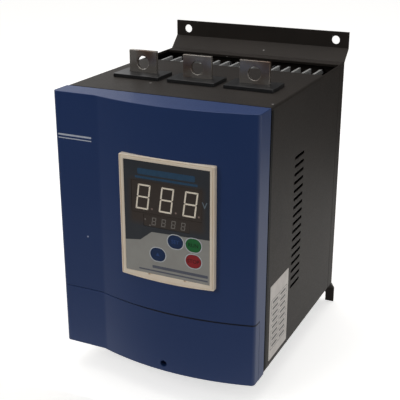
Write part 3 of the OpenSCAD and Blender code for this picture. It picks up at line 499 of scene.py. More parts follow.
def blue_abs():
    finish, nodes, shader, place = start_finish("navy_moulded_abs", IOR=1.53, Specular_IOR_Level=0.44)
    colour = mottle(nodes, place, 90, "#1b3463", "#1e3665")
    colour = speckle(nodes, place, colour, "#b9c0d4", 8, 0.006)
    axes = add(nodes, "ShaderNodeSeparateXYZ", {0: place})
    # Painted shade: dark navy close to the seam's height stands for the shadow in the seam, fading towards
    # the left.
    away = add(nodes, "ShaderNodeMath", {0: axes.outputs["Z"], 1: cover_foot + SEAM_HEIGHT * MM},
               operation="SUBTRACT")
    away = add(nodes, "ShaderNodeMath", {0: away.outputs[0]}, operation="ABSOLUTE")
    near = add(nodes, "ShaderNodeMapRange", {"Value": away.outputs[0], "From Min": SEAM_SHADE_REACH * MM,
                                             "From Max": SEAM_HALF * MM})
    ahead = add(nodes, "ShaderNodeMath", {0: axes.outputs["Y"], 1: cover_front + SEAM_DEPTH * MM},
                operation="LESS_THAN")
    painted_shade = add(nodes, "ShaderNodeMath", {0: near.outputs[0], 1: ahead.outputs[0]}, operation="MULTIPLY")
    left = add(nodes, "ShaderNodeMapRange", {"Value": axes.outputs["X"], "From Min": SHADE_FADE_FROM * MM,
                                             "From Max": SHADE_FADE_TO * MM})
    painted_shade = add(nodes, "ShaderNodeMath", {0: painted_shade.outputs[0], 1: left.outputs[0]}, operation="MULTIPLY")
    dark = add(nodes, "ShaderNodeMix", {FACTOR: painted_shade.outputs[0], COLOUR_A: colour,
                                        COLOUR_B: linear("#050816")}, data_type="RGBA")
    nodes.links.new(dark.outputs[COLOUR_OUT], shader.inputs["Base Color"])
    grain = relief(nodes, shader, place, 1.0, 0.06, 0.03)
    vary_roughness(nodes, shader, grain, 0.44, 0.52)
    return finish


cover_blue = blue_abs()
print(cover_blue.name)

# %% [markdown]
# ## Cream display housing
# The bezel is ABS of a warm cream, moulded against a polished steel, so it is smoother than the
# blue covers. Light has yellowed it a little in patches.

# %% Mix the cream plastic
bezel_cream = grained("cream_moulded_abs", ("#f8ead6", "#f3e1ca"), 30, (0.9, 0.05, 0.02), (0.34, 0.42),
                      IOR=1.53)
print(bezel_cream.name)

# %% [markdown]
# ## Printed overlay
# The overlay is a polyester film, printed on its back: charcoal above and warm grey below. The
# line between the two is nearly level on the left, climbs a slope and runs on nearly level above the keys.
# It is drawn by the shader: each stretch of the line adds its rise over its own run, and a point
# below the line is grey. Round the displays the charcoal is thin and a smoky brown shows, which fades
# out over a few millimetres. The film has a fine matt grain.

# %% Print the overlay
film_lo, film_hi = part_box("overlay_panel")
film_mid = (film_lo + film_hi) / 2
PRINT_LINE = [(-42.9, -23.8), (-27.0, -21.6), (-15.3, -12.2), (42.2, -10.3)]
SMOKE_MIDDLE = (0.0, 16.0)
SMOKE_REACH = (40.0, 24.0)
SMOKE_FADE = 6.0
SMOKE_BROWN = ("#3f3630", "#3c332d")


def printed_film():
    finish, nodes, shader, place = start_finish("back_printed_polyester_film")
    axes = add(nodes, "ShaderNodeSeparateXYZ", {0: place})
    first_z = film_mid.z + PRINT_LINE[0][1] * MM
    height = add(nodes, "ShaderNodeValue")
    height.outputs[0].default_value = first_z
    line = height.outputs[0]
    for (x0, z0), (x1, z1) in zip(PRINT_LINE, PRINT_LINE[1:]):
        rise = add(nodes, "ShaderNodeMapRange", {
            "Value": axes.outputs["X"], "From Min": film_mid.x + x0 * MM, "From Max": film_mid.x + x1 * MM,
            "To Max": (z1 - z0) * MM})
        line = add(nodes, "ShaderNodeMath", {0: line, 1: rise.outputs[0]}, operation="ADD").outputs[0]
    below = add(nodes, "ShaderNodeMath", {0: axes.outputs["Z"], 1: line}, operation="LESS_THAN")
    dark = mottle(nodes, place, 12, "#33363b", "#303338")
    smoke = mottle(nodes, place, 12, *SMOKE_BROWN)
    for axis, middle, reach in zip("XZ", SMOKE_MIDDLE, SMOKE_REACH):
        start = film_mid.x if axis == "X" else film_mid.z
        away = add(nodes, "ShaderNodeMath", {0: axes.outputs[axis], 1: start + middle * MM},
                   operation="SUBTRACT")
        away = add(nodes, "ShaderNodeMath", {0: away.outputs[0]}, operation="ABSOLUTE")
        near = add(nodes, "ShaderNodeMapRange", {"Value": away.outputs[0], "From Min": reach * MM,
                                                 "From Max": (reach - SMOKE_FADE) * MM})
        smoke = add(nodes, "ShaderNodeMix", {FACTOR: near.outputs[0], COLOUR_A: dark, COLOUR_B: smoke},
                    data_type="RGBA").outputs[COLOUR_OUT]
    pale = mottle(nodes, place, 12, "#9f9d97", "#9a9892")
    inks = add(nodes, "ShaderNodeMix", {FACTOR: below.outputs[0], COLOUR_A: smoke, COLOUR_B: pale},
               data_type="RGBA")
    nodes.links.new(inks.outputs[COLOUR_OUT], shader.inputs["Base Color"])
    grain = relief(nodes, shader, place, 0.8, 0.05, 0.02)
    vary_roughness(nodes, shader, grain, 0.3, 0.38)
    return finish


overlay_film = printed_film()
print(overlay_film.name, "with", len(PRINT_LINE) - 1, "stretches of line")

# %% [markdown]
# ## Display faces and segments
# A seven-segment display is a box of black-brown epoxy with milky windows. Unlit, the windows are
# a dull off-white. The small display lies under a darker tint, so its windows hardly show.

# %% Mix the display epoxies
def display_epoxy(name, colours, gloss=(0.3, 0.4)):
    return grained(name, colours, 2.5, (0.7, 0.04, 0.02), gloss)


display_face = display_epoxy("tinted_brown_epoxy_face", SMOKE_BROWN, (0.28, 0.36))
large_window = display_epoxy("milky_unlit_segment", ("#fdf2df", "#f6e9d4"))
small_window = display_epoxy("tinted_unlit_segment", ("#837e78", "#7a756f"))
point_window = display_epoxy("dull_unlit_point", ("#8f7b73", "#87736b"))
print(display_face.name, large_window.name, small_window.name, point_window.name)

# %% [markdown]
# ## Keys
# The keys are silicone rubber with a sprayed colour: satin and a little mottled from the mould.
# Their legends are printed in a darker or lighter ink of the same hue.

# %% Mix the key rubbers and inks
def key_rubber(name, first, second):
    return grained(name, (first, second), 3, (0.8, 0.08, 0.03), (0.42, 0.52))


key_blue = key_rubber("blue_sprayed_silicone", "#0f2c55", "#0e284e")
key_green = key_rubber("green_sprayed_silicone", "#186a33", "#16632f")
key_red = key_rubber("red_sprayed_silicone", "#981e24", "#901b21")
ink_blue = key_rubber("light_blue_pad_print", "#2a4a82", "#26447a")
ink_green = key_rubber("dark_green_pad_print", "#042a12", "#03260f")
ink_red = key_rubber("dark_red_pad_print", "#45070c", "#3f060a")
ink_pale = key_rubber("pale_grey_screen_print", "#ced2d6", "#c8ccd0")
ink_dim = key_rubber("slate_screen_print", "#6f7c86", "#6a767f")
ink_white = key_rubber("white_screen_print", "#c3c8d4", "#bcc2cf")
ink_teal = key_rubber("teal_screen_print", "#2b4c68", "#284760")
ink_slate = key_rubber("dark_slate_screen_print", "#5f626e", "#595c68")
print("three rubbers and eight inks")

# %% [markdown]
# ## Metals
# The terminals are copper bars with a bright tin plating: nearly a mirror, with brown tarnish in
# blotches where the tin is thin. The heat sink is extruded aluminium, with lines along its length
# from the die. Screws and inner plates are steel with a bright zinc plating, which has a soft
# crystalline mottle. A metal keeps the default IOR.

# %% Mix the metals
tin = grained("bright_tinned_copper", ("#aaa49d", "#856b5a"), 26, (1.6, 0.04, 0.02), (0.14, 0.24),
              stretch=(1.0, 1.0, 9.0), wander=(0.46, 0.7), Metallic=0.8)
aluminium = grained("extruded_aluminium", ("#a9a9a8", "#9d9d9b"), 40, (1.5, 0.2, 0.05), (0.5, 0.62),
                    stretch=(1.0, 1.0, 0.03), Metallic=0.5)
zinc = grained("bright_zinc_on_steel", ("#bfc1c3", "#a9abae"), 5, (2.0, 0.08, 0.03), (0.26, 0.4),
               Metallic=1.0)
print(tin.name, aluminium.name, zinc.name)

# %% [markdown]
# ## Insulators and what lies inside
# The pads under the terminals are black phenolic, pressed and glossy. Inside are moulded module
# bodies, a green epoxy-glass board, dark component plastics, a green terminal block and a grey
# ribbon. They differ in colour and gloss only, so one function mixes them.

# %% Mix the insulators
def moulded(name, first, second, size_mm, low, high):
    return grained(name, (first, second), size_mm, (1.0, 0.06, 0.03), (low, high))


phenolic = moulded("pressed_black_phenolic", "#1c1c1d", "#222223", 8, 0.36, 0.42)
module_epoxy = moulded("cast_grey_epoxy", "#3a3a3c", "#424245", 6, 0.4, 0.5)
laminate = moulded("solder_masked_glass_epoxy", "#2c5a38", "#336440", 4, 0.25, 0.35)
component = moulded("black_component_polyamide", "#222226", "#2a2a2e", 5, 0.35, 0.45)
terminal_plastic = moulded("green_terminal_polyamide", "#3c7647", "#437e4e", 6, 0.35, 0.45)
ribbon = moulded("grey_ribbon_vinyl", "#87878a", "#7d7d80", 2, 0.45, 0.55)
print("six moulded finishes")

# %% [markdown]
# ## Working on one piece
# Operators and modifiers act on the active piece. One helper makes a piece the only one that is
# selected, and another adds a modifier to it and applies it at once.

# %% Define how to work on one piece
def only(piece):
    """Selects one piece and makes it active."""
    bpy.ops.object.select_all(action="DESELECT")
    piece.select_set(True)
    bpy.context.view_layer.objects.active = piece


def apply_modifier(piece, kind, **settings):
    """Adds a modifier with its settings and applies it."""
    only(piece)
    modifier = piece.modifiers.new(kind.lower(), kind)
    for name, value in settings.items():
        setattr(modifier, name, value)
    bpy.ops.object.modifier_apply(modifier=modifier.name)


# %% [markdown]
# ## Easing the edges of a CAD piece
# A CAD mesh is loose triangles with razor edges, and no made thing has those. A copy is merged,
# its flat triangles are joined into larger faces, its sharp edges get a small round, and its
# normals are weighted so that flat faces stay flat. The copy stands for the node and rides on the
# same body. The node itself stays as it is.

# %% Define the dressing helpers
MERGE = 1e-6
FLAT = math.radians(0.2)
SHARP = math.radians(55)
SMOOTH = math.radians(32)


def merged_copy(node, flatten=True):
    """A copy of a CAD node's mesh, merged, with its triangles joined into flat faces."""
    piece = bpy.data.objects.new(node + "_dressed", frame["nodes"][node].data.copy())
    scene.collection.objects.link(piece)
    only(piece)
    bpy.ops.mesh.customdata_custom_splitnormals_clear()
    bpy.ops.object.mode_set(mode="EDIT")
    bpy.ops.mesh.select_all(action="SELECT")
    bpy.ops.mesh.remove_doubles(threshold=MERGE)
    if flatten:
        bpy.ops.mesh.dissolve_limited(angle_limit=FLAT)
    bpy.ops.object.mode_set(mode="OBJECT")
    return piece


def stand_for(piece, node, finish):
    """Smooths and paints a dressed copy, and lets it stand for its node on the node's body."""
    only(piece)
    bpy.ops.object.shade_smooth_by_angle(angle=SMOOTH, keep_sharp_edges=True)
    apply_modifier(piece, "WEIGHTED_NORMAL", keep_sharp=True)
    piece.data.materials.clear()
    piece.data.materials.append(finish)
    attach(piece, frame["nodes"][node]["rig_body"])
    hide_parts(node)
    print(piece.name, len(piece.data.polygons), "faces")


def dress(node, finish, edge_mm, segments=3, flatten=True):
    """Copies a node, rounds its sharp edges and lets the copy stand for it."""
    piece = merged_copy(node, flatten)
    apply_modifier(piece, "BEVEL", width=edge_mm * MM, segments=segments, limit_method="ANGLE",
                   angle_limit=SHARP, use_clamp_overlap=False)
    stand_for(piece, node, finish)
    return piece


print("sharp edges over", round(math.degrees(SHARP)), "degrees are rounded")

# %% [markdown]
# ## Case and brackets
# Sheared and folded steel has edges that are only just eased, and the coat adds a little round.
# A radius of about a quarter of a millimetre is enough to catch a line of light.

# %% Dress the sheet metal
SHEET_EDGE = 0.25
dress("case_wrap", case_coat_slotted, SHEET_EDGE)
for node in ("rear_tray", "bottom_plate", "upper_bracket", "lower_bracket"):
    dress(node, case_coat, SHEET_EDGE)

# %% [markdown]
# ## Blue covers
# A moulded cover has soft edges where the tool was polished. The top edge and the lower front edge
# get half a millimetre, the two edges at the seam less, so that the seam stays a thin dark line.
# The crease between the flat wing and the bulge is marked sharp, so that smoothing keeps it.

# %% Dress the two covers
COVER_EDGE = 0.5
SEAM_EDGE = 0.3
CREASE_FROM_LEFT = 45.0
CREASE_PLAY = 0.05
CREASE_LEAST = 10.0
LEVEL_PLAY = 0.02
UPRIGHT = 0.1


def faces_out(face):
    """Whether an upright face looks away from the middle of the case."""
    away = face.calc_center_median() - Vector((0, cad_mid.y, 0))
    return abs(face.normal.z) < UPRIGHT and face.normal.x * away.x + face.normal.y * away.y > 0


def round_level_edges(piece, level, edge_mm):
    """Rounds the outer sharp edges that lie all along one height."""
    def wanted(edge):
        flat = all(abs(v.co.z - level) < LEVEL_PLAY * MM for v in edge.verts)
        return (flat and len(edge.link_faces) == 2 and edge.calc_face_angle_signed() > SHARP
                and any(faces_out(face) for face in edge.link_faces))
    bpy.ops.object.mode_set(mode="EDIT")
    count = pick(piece, "edges", wanted)
    bpy.ops.mesh.bevel(offset=edge_mm * MM, segments=4, affect="EDGES", clamp_overlap=False)
    bpy.ops.object.mode_set(mode="OBJECT")
    return count


for node, outer, seam in (("front_cover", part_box("front_cover")[1].z, SEAM_HEIGHT + SEAM_HALF),
                          ("terminal_cover", cover_foot, SEAM_HEIGHT - SEAM_HALF)):
    cover = merged_copy(node)
    crease_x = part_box(node)[0].x + CREASE_FROM_LEFT * MM
    bpy.ops.object.mode_set(mode="EDIT")
    pick(cover, "edges", lambda e: all(abs(v.co.x - crease_x) < CREASE_PLAY * MM for v in e.verts)
         and abs(e.verts[0].co.z - e.verts[1].co.z) > CREASE_LEAST * MM)
    bpy.ops.mesh.mark_sharp()
    bpy.ops.object.mode_set(mode="OBJECT")
    outer_count = round_level_edges(cover, outer, COVER_EDGE)
    seam_count = round_level_edges(cover, cover_foot + seam * MM, SEAM_EDGE)
    print(node, "edges rounded:", outer_count, "outer and", seam_count, "at the seam")
    stand_for(cover, node, cover_blue)

# %% [markdown]
# ## Display unit, keys, terminals and pads
# These are small pieces with crisp edges: each gets a round that suits how it is made, from a
# fifth of a millimetre on rubber to nearly half on a deburred copper bar. The housing's narrow groove
# takes only a tenth, and its triangles aren't joined: the groove's floor would become one long ring.

# %% Dress the small pieces
BEZEL_EDGE = 0.1
KEY_EDGE = 0.2
FIN_EDGE = 0.2
TERMINAL_EDGE = 0.4

dress("display_housing", bezel_cream, BEZEL_EDGE, flatten=False)
KEYS = {"key_set": (key_blue, "key_blue"), "key_shift": (key_blue, "key_blue"),
        "key_run": (key_green, "key_green"), "key_stop": (key_red, "key_red")}
for node, (finish, slot) in KEYS.items():
    dress(node, finish, KEY_EDGE)
for end in ("line", "load"):
    for phase in (1, 2, 3):
        dress(f"{end}_bar_{phase}", tin, TERMINAL_EDGE)
        dress(f"{end}_pad_{phase}", phenolic, TERMINAL_EDGE)
dress("heat_sink", aluminium, FIN_EDGE, segments=2)

# %% [markdown]
# ## Finishes of the pieces that keep their CAD shape
# What lies inside, and the screws, are right as they are. They only get their finishes, by the
# material slot that the record gives each node.

# %% Paint the rest
BY_SLOT = {
    "case_powder_coat": case_coat, "cover_blue": cover_blue, "bezel_cream": bezel_cream,
    "overlay_print": overlay_film, "display_face": display_face, "tinned_copper": tin,
    "phenolic_black": phenolic, "heat_sink_aluminium": aluminium, "module_epoxy": module_epoxy,
    "zinc_steel": zinc, "board_green": laminate, "component_plastic": component,
    "terminal_green": terminal_plastic, "ribbon_grey": ribbon,
}
BY_NODE = {part["node"]: part["material_slot"] for part in frame["record"]["subparts"]}
painted = 0
for node, solid in frame["nodes"].items():
    if not solid.hide_render:
        solid.data.materials.clear()
        solid.data.materials.append(BY_SLOT[BY_NODE[node]])
        painted += 1
print("CAD nodes painted:", painted)

# %% [markdown]
# ## Seating, joining and copying
# A new piece ends with its place in its mesh, a name, a finish and a body to ride on. What repeats is
# modelled once and copied, and copies of one kind are joined into one piece.

# %% Define how pieces are seated and copied
def settle(piece, name, finish, body):
    """Puts a finished piece's place into its mesh, and names, paints and seats it on a body."""
    only(piece)
    bpy.ops.object.transform_apply(location=True, rotation=True, scale=True)
    piece.name = piece.data.name = name
    piece.data.materials.clear()
    piece.data.materials.append(finish)
    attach(piece, body)
    print(name, len(piece.data.polygons), "faces")
    return piece


def join(pieces):
    """Joins pieces into the first of them."""
    only(pieces[0])
    for piece in pieces:
        piece.select_set(True)
    bpy.ops.object.join()
    return pieces[0]


def twin(piece, place, turn=0.0):
    """A copy of a piece with its own mesh, turned about Y, at a place."""
    copy = piece.copy()
    copy.data = piece.data.copy()
    scene.collection.objects.link(copy)
    copy.location = place
    copy.rotation_euler.y = turn
    return copy


# %% [markdown]
# ## Seven-segment digits
# A digit is seven bars set as a figure eight that leans to the right. Each bar is a cube brought to
# size, whose corners are bevelled: to points where three bars meet, and to a mitre at the outer
# corners of the eight.

# %% Define a segment's bar
POINT = 0.47
MITRE = 0.97
AT_END = 0.499


def segment_bar(length, width, depth, corners):
    """A bar along X whose corners, each an end and a side, are cut back by a share of its width."""
    bpy.ops.object.select_all(action="DESELECT")
    bpy.ops.mesh.primitive_cube_add(size=1)
    bar = bpy.context.object
    bar.scale = (length, depth, width)
    bpy.ops.object.transform_apply(scale=True)
    bpy.ops.object.mode_set(mode="EDIT")
    for end, side, share in corners:
        pick(bar, "edges", lambda e: all(v.co.x * end > AT_END * length and v.co.z * side > AT_END * width
                                         for v in e.verts))
        bpy.ops.mesh.bevel(offset=share * width, segments=1, affect="EDGES", clamp_overlap=False)
    bpy.ops.object.mode_set(mode="OBJECT")
    return bar


print("corners cut back by", POINT, "or", MITRE, "of a bar's width")

# %% [markdown]
# Bars that differ only by half a turn are copies, and so are the digits of a display. The shear
# operator needs a window, so the lean is added to the points themselves. A display's point is a low
# round dot.

# %% Define digits and dots
LEAN = math.tan(math.radians(7.6))
PRINT_PROUD = 0.05 * MM
BAR_GAP = 0.3
DOT_SIDES = 20


def digit(height, width, stroke, depth):
    """A figure eight of seven bars about the origin, leaning to the right."""
    gap = BAR_GAP * stroke
    side = (width - stroke) / 2
    half = (height - stroke) / 2
    rise = half / 2 + stroke / 4
    points = [(end, face, POINT) for end in (-1, 1) for face in (-1, 1)]
    middle_bar = segment_bar(2 * side - gap, stroke, depth, points)
    outer_bar = segment_bar(width - gap, stroke, depth, [(-1, -1, MITRE), (1, -1, MITRE)])
    length = half + stroke / 2 - gap
    left_bar = segment_bar(length, stroke, depth, [(1, -1, MITRE), (-1, -1, POINT), (-1, 1, POINT)])
    right_bar = segment_bar(length, stroke, depth, [(-1, -1, MITRE), (1, -1, POINT), (1, 1, POINT)])
    bars = [twin(middle_bar, (0, 0, 0)),
            twin(outer_bar, (0, 0, half)), twin(outer_bar, (0, 0, -half), math.pi),
            twin(left_bar, (-side, 0, rise), -math.pi / 2), twin(left_bar, (side, 0, -rise), math.pi / 2),
            twin(right_bar, (-side, 0, -rise), -math.pi / 2), twin(right_bar, (side, 0, rise), math.pi / 2)]
    for spare in (middle_bar, outer_bar, left_bar, right_bar):
        bpy.data.objects.remove(spare)
    eight = join(bars)
    bpy.ops.object.transform_apply(location=True, rotation=True)
    for point in eight.data.vertices:
        point.co.x += LEAN * point.co.z
    return eight


def round_dot(diameter, depth, place):
    """A low round dot with an eased front edge, facing the front."""
    bpy.ops.object.select_all(action="DESELECT")
    bpy.ops.mesh.primitive_cylinder_add(vertices=DOT_SIDES, radius=diameter / 2, depth=depth, location=place,
                                        rotation=(math.pi / 2, 0, 0))
    dot = bpy.context.object
    apply_modifier(dot, "BEVEL", width=depth / 3, segments=2, limit_method="ANGLE", angle_limit=SHARP)
    return dot


print("lean of a digit:", round(math.degrees(math.atan(LEAN)), 1), "degrees")

# %% [markdown]
# The large display has three digits about an inch high, each with a point at its foot. The small one
# has four digits and two indicator dots. Both sit on the faces of their displays, a hair proud.

# %% Set the digits on the displays
def display_digits(node, name, finish, size, pitch, count, shift):
    """A row of digits [height, width, stroke] at a pitch, in millimetres, on a display's face."""
    low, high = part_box(node)
    middle = (low + high) / 2
    depth = 2 * PRINT_PROUD
    first = digit(size[0] * MM, size[1] * MM, size[2] * MM, depth)
    pieces = []
    for i in range(count):
        x = middle.x + (shift + (i - (count - 1) / 2) * pitch) * MM
        pieces.append(twin(first, (x, low.y, middle.z)))
    bpy.data.objects.remove(first)
    settle(join(pieces), name, finish, "housing")


def display_dots(node, name, finish, dots):
    """Round dots, each an x, a z and a diameter in millimetres, on a display's face."""
    low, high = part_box(node)
    middle = (low + high) / 2
    pieces = [round_dot(diameter * MM, 2 * PRINT_PROUD, (middle.x + x * MM, low.y, middle.z + z * MM))
              for x, z, diameter in dots]
    settle(join(pieces), name, finish, "housing")


LARGE_DIGIT = (24.0, 12.8, 1.5)
LARGE_PITCH = 23.55
LARGE_SHIFT = 0.27
SMALL_DIGIT = (7.5, 4.2, 0.8)
SMALL_PITCH = 9.8
SMALL_SHIFT = 1.95
LARGE_DOTS = [(-14.5, -10.4, 1.9), (9.4, -10.4, 1.9), (32.1, -10.4, 1.9)]
SMALL_DOTS = [(-21.6, 0.9, 1.6), (-16.9, -4.4, 1.5)]
display_digits("large_display", "large_display_segments", large_window, LARGE_DIGIT, LARGE_PITCH, 3,
               LARGE_SHIFT)
display_dots("large_display", "large_display_points", point_window, LARGE_DOTS)
display_digits("small_display", "small_display_segments", small_window, SMALL_DIGIT, SMALL_PITCH, 4,
               SMALL_SHIFT)
display_dots("small_display", "small_display_points", small_window, SMALL_DOTS)

# %% [markdown]
# ## Print round the keys
# A pale line is printed on the film round each key. It starts as a filled circle whose two halves
# are moved apart into the key's own oval, is inset by the line's width, loses its middle and gets
# the thickness of an ink layer.

# %% Print the key outlines
HALO_GAP = 0.35 * MM
HALO_WIDTH = 0.8 * MM
HALO_SIDES = 56
HALF_PLAY = 0.01 * MM
KEY_FLANGE = 0.8 * MM
INK = 0.03 * MM

for node in KEYS:
    low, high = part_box(node)
    cap_w = high.x - low.x - 2 * KEY_FLANGE
    cap_h = high.z - low.z - 2 * KEY_FLANGE
    radius = cap_h / 2 + HALO_GAP + HALO_WIDTH
    middle = (low + high) / 2
    bpy.ops.object.select_all(action="DESELECT")
    bpy.ops.mesh.primitive_circle_add(vertices=HALO_SIDES, radius=radius, fill_type="NGON")
    halo = bpy.context.object
    bpy.ops.object.mode_set(mode="EDIT")
    for side in (-1, 1):
        pick(halo, "verts", lambda v: v.co.x * side > HALF_PLAY)
        bpy.ops.transform.translate(value=(side * (cap_w - cap_h) / 2, 0, 0))
    pick(halo, "faces", lambda f: True)
    bpy.ops.mesh.inset(thickness=HALO_WIDTH)
    bpy.ops.mesh.delete(type="FACE")
    pick(halo, "faces", lambda f: True)
    bpy.ops.mesh.extrude_region_move(TRANSFORM_OT_translate={"value": (0, 0, INK)})
    bpy.ops.mesh.select_all(action="SELECT")
    bpy.ops.mesh.normals_make_consistent(inside=False)
    bpy.ops.object.mode_set(mode="OBJECT")
    halo.location = (middle.x, film_lo.y, middle.z)
    halo.rotation_euler.x = math.pi / 2
    settle(halo, node + "_outline", ink_pale, "housing")

# %% [markdown]
# ## Words and arrow heads
# A word is a text object with a little thickness, made a mesh before it is placed. An arrow head is
# a cylinder with three sides, whose three corners are rounded.

# %% Define words and arrow heads
CAPITAL = 0.72
BOLDER = 0.02
HEAD_RADIUS = 0.62
HEAD_ROUND = 0.08


def word(text, height, thick):
    """A word as a mesh, upright in X and Y about the origin."""
    bpy.ops.object.select_all(action="DESELECT")
    bpy.ops.object.text_add()
    letters = bpy.context.object
    letters.data.body = text
    letters.data.align_x = "CENTER"
    letters.data.align_y = "CENTER"
    letters.data.size = height / CAPITAL
    letters.data.extrude = thick / 2
    letters.data.offset = BOLDER * height
    bpy.ops.object.convert(target="MESH")
    return bpy.context.object


def arrow_head(height, thick):
    """A triangle that points up, with its corners eased."""
    bpy.ops.object.select_all(action="DESELECT")
    bpy.ops.mesh.primitive_cylinder_add(vertices=3, radius=height * HEAD_RADIUS, depth=thick)
    head = bpy.context.object
    bpy.ops.object.mode_set(mode="EDIT")
    pick(head, "edges", lambda e: abs(e.verts[0].co.z - e.verts[1].co.z) > thick / 2)
    bpy.ops.mesh.bevel(offset=HEAD_ROUND * height, segments=3, affect="EDGES", clamp_overlap=False)
    bpy.ops.object.mode_set(mode="OBJECT")
    return head


print("a capital fills", CAPITAL, "of a font's size")

# %% [markdown]
# ## Legends
# Three keys carry a plain word in a darker or lighter ink, and the shift key an arrow head. Each rides
# on its key. A unit letter stands beside the large display, on the film.

# %% Print the legends
def print_on(piece, name, finish, body, x, y, z):
    """Stands flat print up, facing the front, with its middle at a point on a face."""
    piece.location = (x, y, z)
    piece.rotation_euler = (math.pi / 2, 0, 0)
    settle(piece, name, finish, body)


LEGENDS = {"key_set": ("SET", ink_blue, "set_button"), "key_run": ("RUN", ink_green, "run_button"),
           "key_stop": ("STOP", ink_red, "stop_button")}
LEGEND_HEIGHT = 3.6 * MM
for node, (text, ink, body) in LEGENDS.items():
    low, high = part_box(node)
    print_on(word(text, LEGEND_HEIGHT, 2 * INK), node + "_legend", ink, body,
             (low.x + high.x) / 2, low.y, (low.z + high.z) / 2)
low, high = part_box("key_shift")
print_on(arrow_head(LEGEND_HEIGHT, 2 * INK), "key_shift_legend", ink_blue, "shift_button",
         (low.x + high.x) / 2, low.y, (low.z + high.z) / 2)
UNIT_LETTER = (37.7, 21.3)
UNIT_HEIGHT = 6 * MM
print_on(word("V", UNIT_HEIGHT, 2 * INK), "unit_letter", ink_dim, "housing",
         film_mid.x + UNIT_LETTER[0] * MM, film_lo.y, film_mid.z + UNIT_LETTER[1] * MM)

# %% [markdown]
# ## Rules on the wing
# Two plain rules are screen-printed on the flat wing, a thick one above a thin one. Each is a cube
# brought to size, with its four short edges rounded as printed ends are.

# %% Print the rules
WING_DEPTH = 26.0
RULE_LEFT = 3.8
RULE_LENGTH = 36.0
RULES = [("thick_rule", 219.0, 1.7), ("thin_rule", 215.8, 1.0)]
PRINT_ROUND = 0.25


def flat_plate(size, radius, axis):
    """A box of a size with the four edges along one axis rounded."""
    bpy.ops.object.select_all(action="DESELECT")
    bpy.ops.mesh.primitive_cube_add(size=1)
    plate = bpy.context.object
    plate.scale = size
    bpy.ops.object.transform_apply(scale=True)
    bpy.ops.object.mode_set(mode="EDIT")
    pick(plate, "edges", lambda e: abs(e.verts[0].co[axis] - e.verts[1].co[axis]) > size[axis] / 2)
    bpy.ops.mesh.bevel(offset=radius, segments=4, affect="EDGES", clamp_overlap=False)
    bpy.ops.object.mode_set(mode="OBJECT")
    return plate


wing_front = case_lo.y - WING_DEPTH * MM
for name, height, thick in RULES:
    rule = flat_plate((RULE_LENGTH * MM, 2 * INK, thick * MM), PRINT_ROUND * thick * MM, 1)
    rule.location = (case_lo.x + (RULE_LEFT + RULE_LENGTH / 2) * MM, wing_front, case_lo.z + height * MM)
    settle(rule, name, ink_white, "housing")

# %% [markdown]
# ## Fields on the film
# The head of the film carries two plain bars in a dull teal, and its foot two thin ones in slate.
# They are printed in the same way as the rules.

# %% Print the fields
FIELDS = [("head_bar", ink_teal, (0.0, 44.5), (57.0, 5.6)),
          ("head_line", ink_teal, (0.0, 38.9), (62.0, 2.2)),
          ("foot_bar", ink_slate, (13.0, -46.2), (56.0, 2.8)),
          ("foot_line", ink_slate, (6.0, -50.4), (70.0, 1.4))]
for name, ink, (x, z), (long, high) in FIELDS:
    field = flat_plate((long * MM, 2 * INK, high * MM), PRINT_ROUND * high * MM, 1)
    field.location = (film_mid.x + x * MM, film_lo.y, film_mid.z + z * MM)
    settle(field, name, ink, "housing")

# %% [markdown]
# ## Black strips as the joint's shadow
# A black strip stands in the joint on each side between the covers and the case, put there as
# painted shade: it makes the shadow in that gap a black line beside the blue. One strip is
# modelled, a little back from the side, and the other is its copy.

# %% Lay the black strips for the joint's shadow
SHADOW_STRIP_WIDE = 3.4
SHADOW_STRIP_BACK = 0.5
SHADOW_STRIP_SHORT = 1.0
SHADOW_STRIP_FILL = 0.95
SHADOW_STRIP_ROUND = 0.3
JOINT_GAP = 2.0
# A black strip as painted shade: it stands for the shadow in the joint.
joint_shadow_black = moulded("black_strip_as_joint_shadow", "#0b0b0b", "#121212", 1.5, 0.8, 0.95)
strip_long = case_hi.z - case_lo.z - 2 * SHADOW_STRIP_SHORT * MM
strip = flat_plate((SHADOW_STRIP_WIDE * MM, SHADOW_STRIP_FILL * JOINT_GAP * MM, strip_long), SHADOW_STRIP_ROUND * MM, 2)
strip_x = case_hi.x - (SHADOW_STRIP_BACK + SHADOW_STRIP_WIDE / 2) * MM
for side, x in (("right", strip_x), ("left", -strip_x)):
    copy = twin(strip, (x, case_lo.y - JOINT_GAP / 2 * MM, (case_lo.z + case_hi.z) / 2))
    settle(copy, "joint_shadow_strip_" + side, joint_shadow_black, "housing")
bpy.data.objects.remove(strip)

# %% [markdown]
# ## Rating plate
# A thin aluminium foil plate is stuck on the right side, low and near the front. It is matt, with the
# faint lines of a brushed foil.

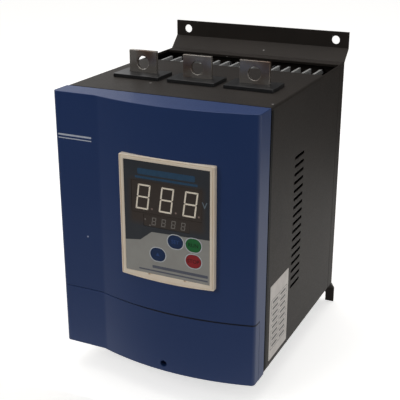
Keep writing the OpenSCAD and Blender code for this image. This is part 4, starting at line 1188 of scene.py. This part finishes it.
# %% Stick on the rating plate
PLATE_FRONT = 9.8
PLATE_DEPTH = 49.2
PLATE_LOW = 7.0
PLATE_HEIGHT = 79.0
PLATE_THICK = 0.25
PLATE_CORNER = 1.5
plate_mid_y = case_lo.y + (PLATE_FRONT + PLATE_DEPTH / 2) * MM
plate_top = case_lo.z + (PLATE_LOW + PLATE_HEIGHT) * MM
label_foil = grained("matt_aluminium_foil_label", ("#cbc5c0", "#c1bbb6"), 9, (6.0, 0.06, 0.02), (0.42, 0.52),
                     stretch=(1.0, 1.0, 12.0), Metallic=0.35)
plate = flat_plate((PLATE_THICK * MM, PLATE_DEPTH * MM, PLATE_HEIGHT * MM), PLATE_CORNER * MM, 0)
plate.location = (case_hi.x + PLATE_THICK / 2 * MM, plate_mid_y, plate_top - PLATE_HEIGHT / 2 * MM)
settle(plate, "rating_plate", label_foil, "housing")

# %% [markdown]
# The plate carries a ruled table with a plain bar in each field. One row line, one column line and
# one bar are modelled, and arrays repeat them down and across the plate.

# %% Rule the plate's table
ROW_COUNT = 9
ROW_PITCH = 6.6
COLUMN_COUNT = 3
TABLE_MARGIN = 4
TABLE_DROP = 16
LINE_THICK = 0.45
LINE_ROUND = 0.1
BAR_LONG = 14.0
BAR_HIGH = 2.2
BAR_ROUND = 0.4
table_wide = PLATE_DEPTH - 2 * TABLE_MARGIN
table_high = (ROW_COUNT - 1) * ROW_PITCH
down = (0, 0, -ROW_PITCH * MM)
across = (0, table_wide / (COLUMN_COUNT - 1) * MM, 0)
label_ink = key_rubber("grey_label_print", "#5b5856", "#545150")


def rule_table(name, long, high, radius, repeats, aside, below):
    """Print repeated over the plate: each repeat a count and a step, from a place beside the middle."""
    mark = flat_plate((2 * INK, long * MM, high * MM), radius * MM, 0)
    for count, step in repeats:
        apply_modifier(mark, "ARRAY", count=count, use_relative_offset=False, use_constant_offset=True,
                       constant_offset_displace=step)
    mark.location = (case_hi.x + PLATE_THICK * MM, plate_mid_y - aside * MM, plate_top - below * MM)
    settle(mark, name, label_ink, "housing")


rule_table("rating_plate_rows", table_wide, LINE_THICK, LINE_ROUND, [(ROW_COUNT, down)], 0, TABLE_DROP)
rule_table("rating_plate_columns", LINE_THICK, table_high, LINE_ROUND, [(COLUMN_COUNT, across)],
           table_wide / 2, TABLE_DROP + table_high / 2)
rule_table("rating_plate_bars", BAR_LONG, BAR_HIGH, BAR_ROUND,
           [(ROW_COUNT - 1, down), (COLUMN_COUNT - 1, across)], table_wide / 4, TABLE_DROP + ROW_PITCH / 2)
